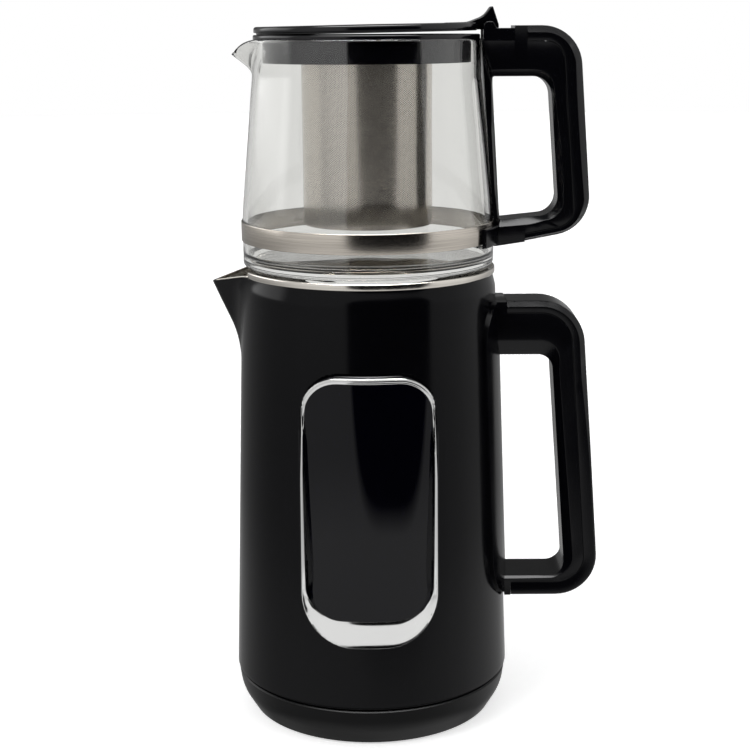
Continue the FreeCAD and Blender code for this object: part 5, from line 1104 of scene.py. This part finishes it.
def make_teapot_handle(s):
    """Teapot handle: a loop round the finger opening, a cap, ears and foot.

    The loop's section follows the opening. On the jug's side it narrows to a
    strip that lies against the glass. Points stand twice in one line where
    only the other has a corner.
    """
    top = ARM_TOP - ARM_CAP_DEPTH
    seam = ARM_SEAM - CAP_GAP
    corner = arm_reach(ARM_BOTTOM) - ARM_CAP_SIDE
    inner = (
        (64.6, GAP_TOP, 1.0), (POCKET_END, GAP_TOP), (POCKET_END, GAP_TOP), (seam, GAP_TOP),
        (seam, GAP_TOP), (GAP_TOP_REACH, GAP_TOP, GAP_CORNER),
        (GAP_BOTTOM_REACH, GAP_BOTTOM, GAP_CORNER),
        (seam, gap_floor(seam)), (seam, gap_floor(seam)),
        (GAP_FOOT_REACH, gap_floor(GAP_FOOT_REACH), 1.0),
    )
    outer = (
        (58.9, POCKET_FLOOR, 0.0), (POCKET_END, POCKET_FLOOR), (POCKET_END, ARM_TOP),
        (seam, ARM_TOP), (seam, top), (arm_reach(top) - ARM_CAP_SIDE, top, ARM_SEAM_ROUNDS[0]),
        (corner, belly_height(corner) + ARM_CAP_LOW, ARM_SEAM_ROUNDS[1]),
        (seam, belly_height(seam) + ARM_CAP_LOW), (seam, belly_height(seam)),
        (66.0, ARM_FOOT, 0.0),
    )
    lines = divided([closed(rounded(inner, 10)), closed(rounded(outer, 10))], 4.0)
    x, z = lines[0].T
    # the strip beside the glass is 3 mm narrower on each side than the arms
    on_strip = smooth_step(68.0 + (GAP_TOP - z) * 0.062 - x, -3, 2)
    on_strip = on_strip * smooth_step(z, 268, 276) * (1 - smooth_step(z, 338, 343.2))
    half = s.arm_width / 2 - 3.0 * on_strip
    sheet = loop_grip(*lines, bevel_line(3.5, 0.5), round_line(0.4), half)

    def jug_wall(z):
        """Wall of the jug and its strap, with room between it and the handle."""
        strap = np.where(z < BAND_HIGH[2] + 0.3, BAND_HIGH[1], 0)
        return np.maximum(jug_radius(np.minimum(z, JUG_TOP), s), strap) + 0.45

    sheet = hold_off(sheet, jug_wall)
    piece = skin("teapot_grip_inner", [sheet], 30)
    dressed(piece, "handle", "teapot", "black_plastic", "teapot_handle_frame")

    gap = CAP_FIT
    cap_inner = (
        (ARM_SEAM, top + gap),
        (arm_reach(top) - ARM_CAP_SIDE + gap, top + gap, ARM_SEAM_ROUNDS[0]),
        (corner + gap, belly_height(corner) + ARM_CAP_LOW - gap, ARM_SEAM_ROUNDS[1]),
        (ARM_SEAM, belly_height(ARM_SEAM) + ARM_CAP_LOW - gap),
    )
    cap_outer = (
        (ARM_SEAM, ARM_TOP), (ARM_TOP_REACH, ARM_TOP, ARM_OUTER_ROUNDS[0]),
        (ARM_BOTTOM_REACH, ARM_BOTTOM, ARM_OUTER_ROUNDS[1]),
        (ARM_SEAM, belly_height(ARM_SEAM)),
    )
    lines = divided([rounded(cap_inner, 12), rounded(cap_outer, 12)], 4.0)
    far = bevel_line(4.0, 0.9)[::-1]
    sheet = loop_grip(*lines, round_line(0.3)[::-1], far, s.arm_width / 2)
    piece = skin("teapot_grip_cap", [capped(sheet)], 30)
    dressed(piece, "handle", "teapot", "black_plastic", "teapot_handle_cover")

    cheek = rounded((
        (59.6, POCKET_FLOOR - 1.0), (POCKET_END + 1.0, POCKET_FLOOR - 1.0),
        (POCKET_END + 1.0, 367.2), (66.4, 367.2, 1.5), (64.6, 370.6, 1.6), (60.2, 370.6, 2.4),
        (59.6, 367.5, 0.6),
    ), 6)
    for side, name in ((-1, "front"), (1, "back")):
        near_y, far_y = side * 8.4, side * s.arm_width / 2
        sheet = plate(cheek, (63.0, 365.0), near_y, far_y)
        piece = skin(f"hinge_cheek_{name}", [sheet], 30)
        bevelled(piece, 0.5)
        dressed(piece, "handle", "teapot", "black_plastic")

    strap = BAND_HIGH[1] + 0.05
    face = strap + SADDLE_DEPTH
    section = closed(rounded((
        (strap, SADDLE_FOOT, 0.0), (face, SADDLE_FOOT, 0.7), (face, SADDLE_TOP, 0.7),
        (strap, SADDLE_TOP, 0.0),
    ), 4))
    saddle_turn = np.radians(180 + np.linspace(-SADDLE_TURN, SADDLE_TURN, 33))[:, None]
    sheet = polar(saddle_turn, section[:, 0], section[:, 1])
    piece = skin("handle_foot", [capped(sheet)], 35)
    dressed(piece, "handle", "teapot", "black_plastic")


def make_collar(s):
    """Strainer collar: a turned flange on the jug's rim with a skirt inside it."""
    top, low = COLLAR_HIGH[2], COLLAR_LOW[2]
    outer = COLLAR_HIGH[0]
    hole, skirt_in, skirt_out = s.basket_radius + 0.15, 52.6, 54.0
    profile = rounded((
        (hole, JUG_TOP - 1.4), (skirt_in, JUG_TOP - 1.4), (skirt_in, low, 0.3),
        (skirt_out, low, 0.3), (skirt_out, JUG_TOP + 0.05), (outer, JUG_TOP + 0.05, 0.4),
        (outer, top, 0.8), (skirt_in, top, 0.4), (skirt_in, JUG_TOP + 0.6),
        (hole, JUG_TOP + 0.6),
    ), 4)
    piece = skin("tea_collar", [turned(closed(profile), 200)], 35)
    dressed(piece, "lid", "teapot", "black_plastic", "strainer_collar")


def make_basket(s):
    """Strainer: an etched tube with a turned-out rim and a pressed floor."""
    low, high = BASKET_LOW[2], BASKET_HIGH[2]
    radius = s.basket_radius
    wall, rim = BASKET_WALL, radius + BASKET_RIM
    profile = rounded((
        (radius - wall, low), (radius, low, 0.15), (radius, high - wall, 1.0),
        (rim, high - wall), (rim, high), (radius - wall, high, 1.4),
    ), 5)
    piece = skin("strainer_tube", [turned(closed(profile))], 40)
    dressed(piece, "basket", "teapot", "brushed_steel", "strainer_basket")
    profile = rounded((
        (0, low), (radius - wall, low, 1.5), (radius - wall, low + 4.0),
        (radius - 2 * wall, low + 4.0), (radius - 2 * wall, low + wall, 1.0), (0, low + wall),
    ), 5)
    piece = skin("strainer_pan", [turned(profile)], 40)
    dressed(piece, "basket", "teapot", "brushed_steel", "strainer_floor")


LID_LOW, LEVER_TOP, LEVER_HALF = 366.2, 378.0, 7.8
LID_LEAN = 0.85


def make_lid(s):
    """Lid: a shallow disc with a step below, a hinge arm and a thumb lever.

    It leans towards the spout, turned about its hinge.
    """
    low = LID_LOW
    top = low + s.lid_thickness
    radius = s.lid_radius
    profile = rounded((
        (0, low), (radius - 1.4, low, 0.3), (radius - 1.3, low + 0.9, 0.2),
        (radius, low + 1.0, 0.4), (radius, top, 1.5), (0, top + 0.25),
    ), 6)
    disc = turned(profile, 200)
    lever = rounded((
        (40.0, low + 0.6), (HINGE[0], low + 0.3), (67.8, HINGE[1] - 1.6, 1.2),
        (67.8, HINGE[1] + 0.6, 1.2), (64.9, LEVER_TOP, 0.5), (63.9, LEVER_TOP, 0.5),
        (60.5, 373.5, 9.0), (52.0, top + 0.25, 12.0), (40.0, top + 0.2),
    ), 8)
    arm = plate(lever, (61.5, 369.5), -LEVER_HALF, LEVER_HALF)
    lean = np.array(Matrix.Rotation(np.radians(-LID_LEAN), 3, "Y"))
    centre = np.array([HINGE[0], 0, HINGE[1]])
    disc, arm = ((sheet - centre) @ lean.T + centre for sheet in (disc, arm))
    dressed(skin("lid_disc", [disc], 30), "lid", "lid", "lid_plastic", "lid")
    piece = skin("lid_lever", [arm], 30)
    bevelled(piece, 0.7, 3)
    dressed(piece, "lid", "lid", "lid_plastic")


def make_pin():
    """Hinge pin: a turned steel rod with domed ends."""
    reach = cad_box("hinge_pin")[1][1]
    profile = rounded(((0, -reach), (1.25, -reach, 0.5), (1.25, reach, 0.5), (0, reach)), 5)
    rod = turned(profile, 40)
    sheet = np.stack(
        [rod[..., 0] + HINGE[0], rod[..., 2], rod[..., 1] + HINGE[1]], axis=-1
    )
    piece = skin("hinge_rod", [sheet], 40)
    dressed(piece, "zinc", "teapot", "polished_steel", "hinge_pin")


INNER_FINISHES = {
    "base_plate": "base", "base_feet": "rubber", "base_screws": "zinc", "cord_gland": "base",
    "base_connector": "base", "base_terminals": "brass", "pot_seal": "silicone",
    "control_board": "board", "ribbon_cable": "moulding", "heater_plate": "aluminium",
    "heating_element": "pot", "control_housing": "moulding", "bimetal_disc": "brass",
    "kettle_connector": "brass", "kettle_base_cover": "base", "base_cover_screws": "zinc",
    "kettle_handle_screws": "zinc",
}


# --------------------------------------------------------------------- stage


WHITE = (1, 1, 1, 1)
# metres, degrees, millimetres of lens and a share of the frame's width
CAMERA_PLACE = (0.0105, -0.824, 0.3688)
CAMERA_PITCH, CAMERA_ROLL, CAMERA_LENS, CAMERA_SHIFT = 12.63, -0.35, 74.88, -0.0185


def make_camera():
    """Camera in front, above the middle, looking down at the machine."""
    camera = bpy.data.cameras.new("camera")
    camera.sensor_width = 36.0
    camera.lens = CAMERA_LENS
    camera.shift_x = CAMERA_SHIFT
    camera.dof.use_dof = False
    camera.clip_end = 20.0
    view = bpy.data.objects.new("camera", camera)
    pitch = Matrix.Rotation(np.radians(90 - CAMERA_PITCH), 4, "X")
    roll = Matrix.Rotation(np.radians(CAMERA_ROLL), 4, "Z")
    view.matrix_world = Matrix.Translation(CAMERA_PLACE) @ pitch @ roll
    bpy.context.scene.collection.objects.link(view)
    bpy.context.scene.camera = view


def make_lamp(name, place, size, power):
    """A soft rectangular lamp that looks at the middle of the machine."""
    light = bpy.data.lights.new(name, "AREA")
    light.shape = "RECTANGLE"
    light.size, light.size_y = size
    light.energy = power
    lamp = bpy.data.objects.new(name, light)
    spot = Vector(place)
    aim = (Vector((0, 0, 0.19)) - spot).to_track_quat("-Z", "Y")
    lamp.matrix_world = Matrix.Translation(spot) @ aim.to_matrix().to_4x4()
    lamp.visible_glossy = False
    lamp.visible_transmission = False
    bpy.context.scene.collection.objects.link(lamp)


def make_floor():
    """A pale floor: a wide disc that reads as white and keeps the shadow.

    Mirror rays pass through it, so the machine reflects the room below the
    horizon, which the world paints with its table.
    """
    profile = np.array([(0.0, 0.0), (300.0, 0.0), (1500.0, 0.0), (6000.0, 0.0)])
    piece = skin("floor", [turned(profile, 64)])
    material, tree, shader, output = new_material(
        "pale_floor", Base_Color=chosen("floor"), Roughness=0.6
    )
    grain = noise(tree, (2.0, 2.0, 2.0), 2.0)
    add(tree, "Bump", to=shader.inputs["Normal"], Height=grain, Distance=0.02 * MM)
    path = add(tree, "LightPath").outputs
    glow = add(tree, "Emission", Color=WHITE, Strength=0.55)
    lit = add(tree, "AddShader", _0=shader, _1=glow)
    seen = add(
        tree, "Math", {"operation": "MAXIMUM"}, _0=path["Is Camera Ray"],
        _1=path["Is Transmission Ray"],
    )
    pale = add(tree, "MixShader", Fac=seen, _1=shader, _2=lit)
    open_way = add(tree, "BsdfTransparent", Color=WHITE)
    add(tree, "MixShader", to=output, Fac=path["Is Glossy Ray"], _1=pale, _2=open_way)
    piece.data.materials.append(material)


FIGURE_AZIMUTH, FIGURE_HALF_WIDTH = np.radians(18.8), np.radians(38.5)
FIGURE_LEVEL, FIGURE_HALF_HEIGHT = np.radians(1.0), np.radians(19.5)
ROOM_STRENGTH, SOFTBOX_STRENGTH, OVERHEAD_STRENGTH = 1.22, 2.0, 14.0


def spread(tree, value, stops, reach=1.0):
    """A ramp over -reach to reach, such as one part of a direction or a turn."""
    share = add(tree, "MapRange", _0=value, _1=-1.0, _2=1.0)
    tones = [((place / reach + 1) / 2, tone) for place, tone in stops]
    return add(tree, "ValToRGB", stops=tones, Fac=share)


def make_world():
    """The room that mirror rays see by their direction.

    Azimuth runs from the front towards the handles, and level above the
    horizon. The table, the walls and the ceiling are one tone by height times
    one by azimuth. One dark figure, a superellipse (a^4 + b^4 < 1) of azimuth
    and level, stands in front, a tall softbox to the left, and an overhead
    lamp aloft, and the room fades aloft behind. Camera rays see plain white
    and rays through glass a pale sweep ahead of the camera.
    """
    world = bpy.data.worlds.new("studio")
    world.use_nodes = True
    tree = world.node_tree
    tree.nodes.clear()
    output = add(tree, "OutputWorld").inputs["Surface"]
    spot = add(tree, "TexCoord").outputs["Generated"]
    x, y, z = add(tree, "SeparateXYZ", Vector=spot).outputs
    product = {"operation": "MULTIPLY"}
    by_height = spread(tree, z, (
        (-1.0, 0.85), (-0.8, 0.8), (-0.68, 0.32), (-0.5, 0.8), (-0.32, 0.92), (-0.27, 0.62),
        (-0.2, 0.62), (-0.1, 0.78), (0.05, 0.88), (1.0, 0.9),
    ))
    ahead = add(tree, "Math", product, _0=y, _1=-1.0)
    azimuth = add(tree, "Math", {"operation": "ARCTAN2"}, _0=x, _1=ahead)
    level = add(tree, "Math", {"operation": "ARCSINE"}, _0=z)
    powers = []
    for angle, middle, half in (
        (azimuth, FIGURE_AZIMUTH, FIGURE_HALF_WIDTH), (level, FIGURE_LEVEL, FIGURE_HALF_HEIGHT),
    ):
        off = add(tree, "Math", {"operation": "SUBTRACT"}, _0=angle, _1=middle)
        share = add(tree, "Math", {"operation": "DIVIDE"}, _0=off, _1=half)
        size = add(tree, "Math", {"operation": "ABSOLUTE"}, _0=share)
        powers.append(add(tree, "Math", {"operation": "POWER"}, _0=size, _1=4.0))
    reach = add(tree, "Math", {"operation": "ADD"}, _0=powers[0], _1=powers[1])
    figure = add(tree, "ValToRGB", stops=((0.0, 0.0), (0.8, 0.01), (1.0, 1.0)), Fac=reach)
    turn = add(tree, "Math", {"operation": "DIVIDE"}, _0=azimuth, _1=np.pi)
    by_side = spread(tree, turn, (
        (-180, 0.45), (-150, 0.36), (-107, 0.48), (-92, 0.56), (-77, 0.7), (-60, 0.85),
        (-40, 0.9), (50, 0.88), (75, 0.95), (95, 0.95), (115, 0.75), (140, 0.5), (180, 0.45),
    ), 180)
    box_across = spread(tree, turn, (
        (-180, 0.0), (-140, 0.0), (-130, 1.0), (-88, 1.0), (-78, 0.0), (180, 0.0),
    ), 180)
    box_along = spread(tree, z, (
        (-1.0, 0.0), (-0.02, 0.0), (0.05, 1.0), (0.5, 1.0), (0.6, 0.0), (1.0, 0.0),
    ))
    over_across = spread(tree, y, ((-1.0, 1.0), (-0.05, 1.0), (0.0, 0.0), (1.0, 0.0)))
    over_along = spread(tree, z, ((-1.0, 0.0), (0.8, 0.0), (0.84, 1.0), (1.0, 1.0)))
    lights = []
    for first, second, strength in (
        (by_height, by_side, ROOM_STRENGTH), (box_across, box_along, SOFTBOX_STRENGTH),
        (over_across, over_along, OVERHEAD_STRENGTH),
    ):
        tone = add(tree, "Math", product, _0=first, _1=second)
        lights.append(add(tree, "Math", product, _0=tone, _1=strength))
    walls, softbox, overhead = lights
    walls = add(tree, "Math", product, _0=walls, _1=figure)
    walls = add(tree, "Math", {"operation": "ADD"}, _0=walls, _1=softbox)
    back = spread(tree, y, ((-1.0, 0.0), (0.8, 0.0), (0.93, 1.0), (1.0, 1.0)))
    aloft = spread(tree, z, ((-1.0, 0.0), (0.0, 0.0), (0.08, 0.75), (1.0, 0.75)))
    dark = add(tree, "Math", product, _0=back, _1=aloft)
    light = add(tree, "Math", {"operation": "SUBTRACT"}, _0=1.0, _1=dark)
    walls = add(tree, "Math", product, _0=walls, _1=light)
    room = add(tree, "Math", {"operation": "ADD"}, _0=walls, _1=overhead)
    reflected = add(tree, "Background", Color=WHITE, Strength=room)
    soft = add(tree, "Background", Color=WHITE, Strength=0.55)
    sweep = add(tree, "Background", Color=linear("#e6e6e4"), Strength=1.0)
    white = add(tree, "Background", Color=WHITE, Strength=1.0)
    forward = spread(tree, y, ((-1.0, 0.0), (-0.1, 0.0), (0.1, 1.0), (1.0, 1.0)))
    path = add(tree, "LightPath").outputs
    through = add(tree, "MixShader", Fac=forward, _1=reflected, _2=sweep)
    mix = add(tree, "MixShader", Fac=path["Is Glossy Ray"], _1=soft, _2=reflected)
    mix = add(tree, "MixShader", Fac=path["Is Transmission Ray"], _1=mix, _2=through)
    add(tree, "MixShader", to=output, Fac=path["Is Camera Ray"], _1=mix, _2=white)
    bpy.context.scene.world = world


# ----------------------------------------------------------------- operators


class Piece:
    """Shared manners of the tea maker's operators."""

    bl_options = {"REGISTER", "UNDO"}


class TEAMAKER_OT_finishes(Piece, bpy.types.Operator):
    """Make the materials and give the inner CAD pieces theirs"""

    bl_idname = "teamaker.finishes"
    bl_label = "Finishes"

    def execute(self, context):
        make_finishes()
        for node, finish in INNER_FINISHES.items():
            target = frame["nodes"][node]
            target.data.materials.clear()
            target.data.materials.append(FINISH[finish])
        return {"FINISHED"}


class TEAMAKER_OT_base(Piece, bpy.types.Operator):
    """Make the power base"""

    bl_idname = "teamaker.base"
    bl_label = "Power base"

    def execute(self, context):
        make_base(sizes_in_mm())
        return {"FINISHED"}


class TEAMAKER_OT_kettle(Piece, bpy.types.Operator):
    """Make the kettle's shell and steel pot"""

    bl_idname = "teamaker.kettle"
    bl_label = "Kettle body"

    def execute(self, context):
        sizes = sizes_in_mm()
        make_shell(sizes)
        make_pot(sizes)
        return {"FINISHED"}


class TEAMAKER_OT_window(Piece, bpy.types.Operator):
    """Make the touch window, its chrome ring and its surround"""

    bl_idname = "teamaker.window"
    bl_label = "Touch window"

    def execute(self, context):
        make_window(sizes_in_mm())
        return {"FINISHED"}


class TEAMAKER_OT_kettle_handle(Piece, bpy.types.Operator):
    """Make the kettle's saddle and handle"""

    bl_idname = "teamaker.kettle_handle"
    bl_label = "Kettle handle"

    def execute(self, context):
        make_mount(sizes_in_mm())
        make_kettle_handle(sizes_in_mm())
        return {"FINISHED"}


class TEAMAKER_OT_jug(Piece, bpy.types.Operator):
    """Make the glass jug and its steel strap"""

    bl_idname = "teamaker.jug"
    bl_label = "Glass jug"

    def execute(self, context):
        make_jug(sizes_in_mm())
        make_band(sizes_in_mm())
        return {"FINISHED"}


class TEAMAKER_OT_teapot_handle(Piece, bpy.types.Operator):
    """Make the teapot's handle and the hinge pin"""

    bl_idname = "teamaker.teapot_handle"
    bl_label = "Teapot handle"

    def execute(self, context):
        make_teapot_handle(sizes_in_mm())
        make_pin()
        return {"FINISHED"}


class TEAMAKER_OT_strainer(Piece, bpy.types.Operator):
    """Make the strainer's collar, tube and floor"""

    bl_idname = "teamaker.strainer"
    bl_label = "Strainer"

    def execute(self, context):
        make_collar(sizes_in_mm())
        make_basket(sizes_in_mm())
        return {"FINISHED"}


class TEAMAKER_OT_lid(Piece, bpy.types.Operator):
    """Make the lid with its lever"""

    bl_idname = "teamaker.lid"
    bl_label = "Lid"

    def execute(self, context):
        make_lid(sizes_in_mm())
        return {"FINISHED"}


class TEAMAKER_OT_stage(Piece, bpy.types.Operator):
    """Make the floor, the studio light and the camera"""

    bl_idname = "teamaker.stage"
    bl_label = "Stage"

    def execute(self, context):
        make_floor()
        make_world()
        make_lamp("key_softbox", (-1.2, -1.3, 1.5), (0.9, 0.9), 14.0)
        make_lamp("fill_softbox", (1.5, -0.9, 0.9), (0.7, 1.2), 6.0)
        make_camera()
        context.scene.view_settings.view_transform = "Standard"
        return {"FINISHED"}


OPERATORS = (
    TEAMAKER_OT_finishes, TEAMAKER_OT_base, TEAMAKER_OT_kettle, TEAMAKER_OT_window,
    TEAMAKER_OT_kettle_handle, TEAMAKER_OT_jug, TEAMAKER_OT_teapot_handle,
    TEAMAKER_OT_strainer, TEAMAKER_OT_lid, TEAMAKER_OT_stage,
)


class TEAMAKER_PT_panel(bpy.types.Panel):
    """Sidebar panel with every step and size"""

    bl_idname = "TEAMAKER_PT_panel"
    bl_label = "Tea Maker"
    bl_space_type = "VIEW_3D"
    bl_region_type = "UI"
    bl_category = "Tea Maker"

    def draw(self, context):
        for operator in OPERATORS:
            self.layout.operator(operator.bl_idname)
        for group in (context.scene.tea_maker_sizes, context.scene.tea_maker_colours):
            column = self.layout.column(align=True)
            for key in type(group).__annotations__:
                column.prop(group, key)


CLASSES = (TeaMakerSizes, TeaMakerColours, *OPERATORS, TEAMAKER_PT_panel)


def register():
    """Register the add-on's classes and its settings on the scene."""
    for item in CLASSES:
        bpy.utils.register_class(item)
    bpy.types.Scene.tea_maker_sizes = PointerProperty(type=TeaMakerSizes)
    bpy.types.Scene.tea_maker_colours = PointerProperty(type=TeaMakerColours)


def unregister():
    """Take the settings and classes away again."""
    del bpy.types.Scene.tea_maker_colours
    del bpy.types.Scene.tea_maker_sizes
    for item in reversed(CLASSES):
        bpy.utils.unregister_class(item)


def main():
    """Make the whole machine."""
    register()
    for operator in OPERATORS:
        group, name = operator.bl_idname.split(".")
        getattr(getattr(bpy.ops, group), name)()


if __name__ == "__main__":
    main()
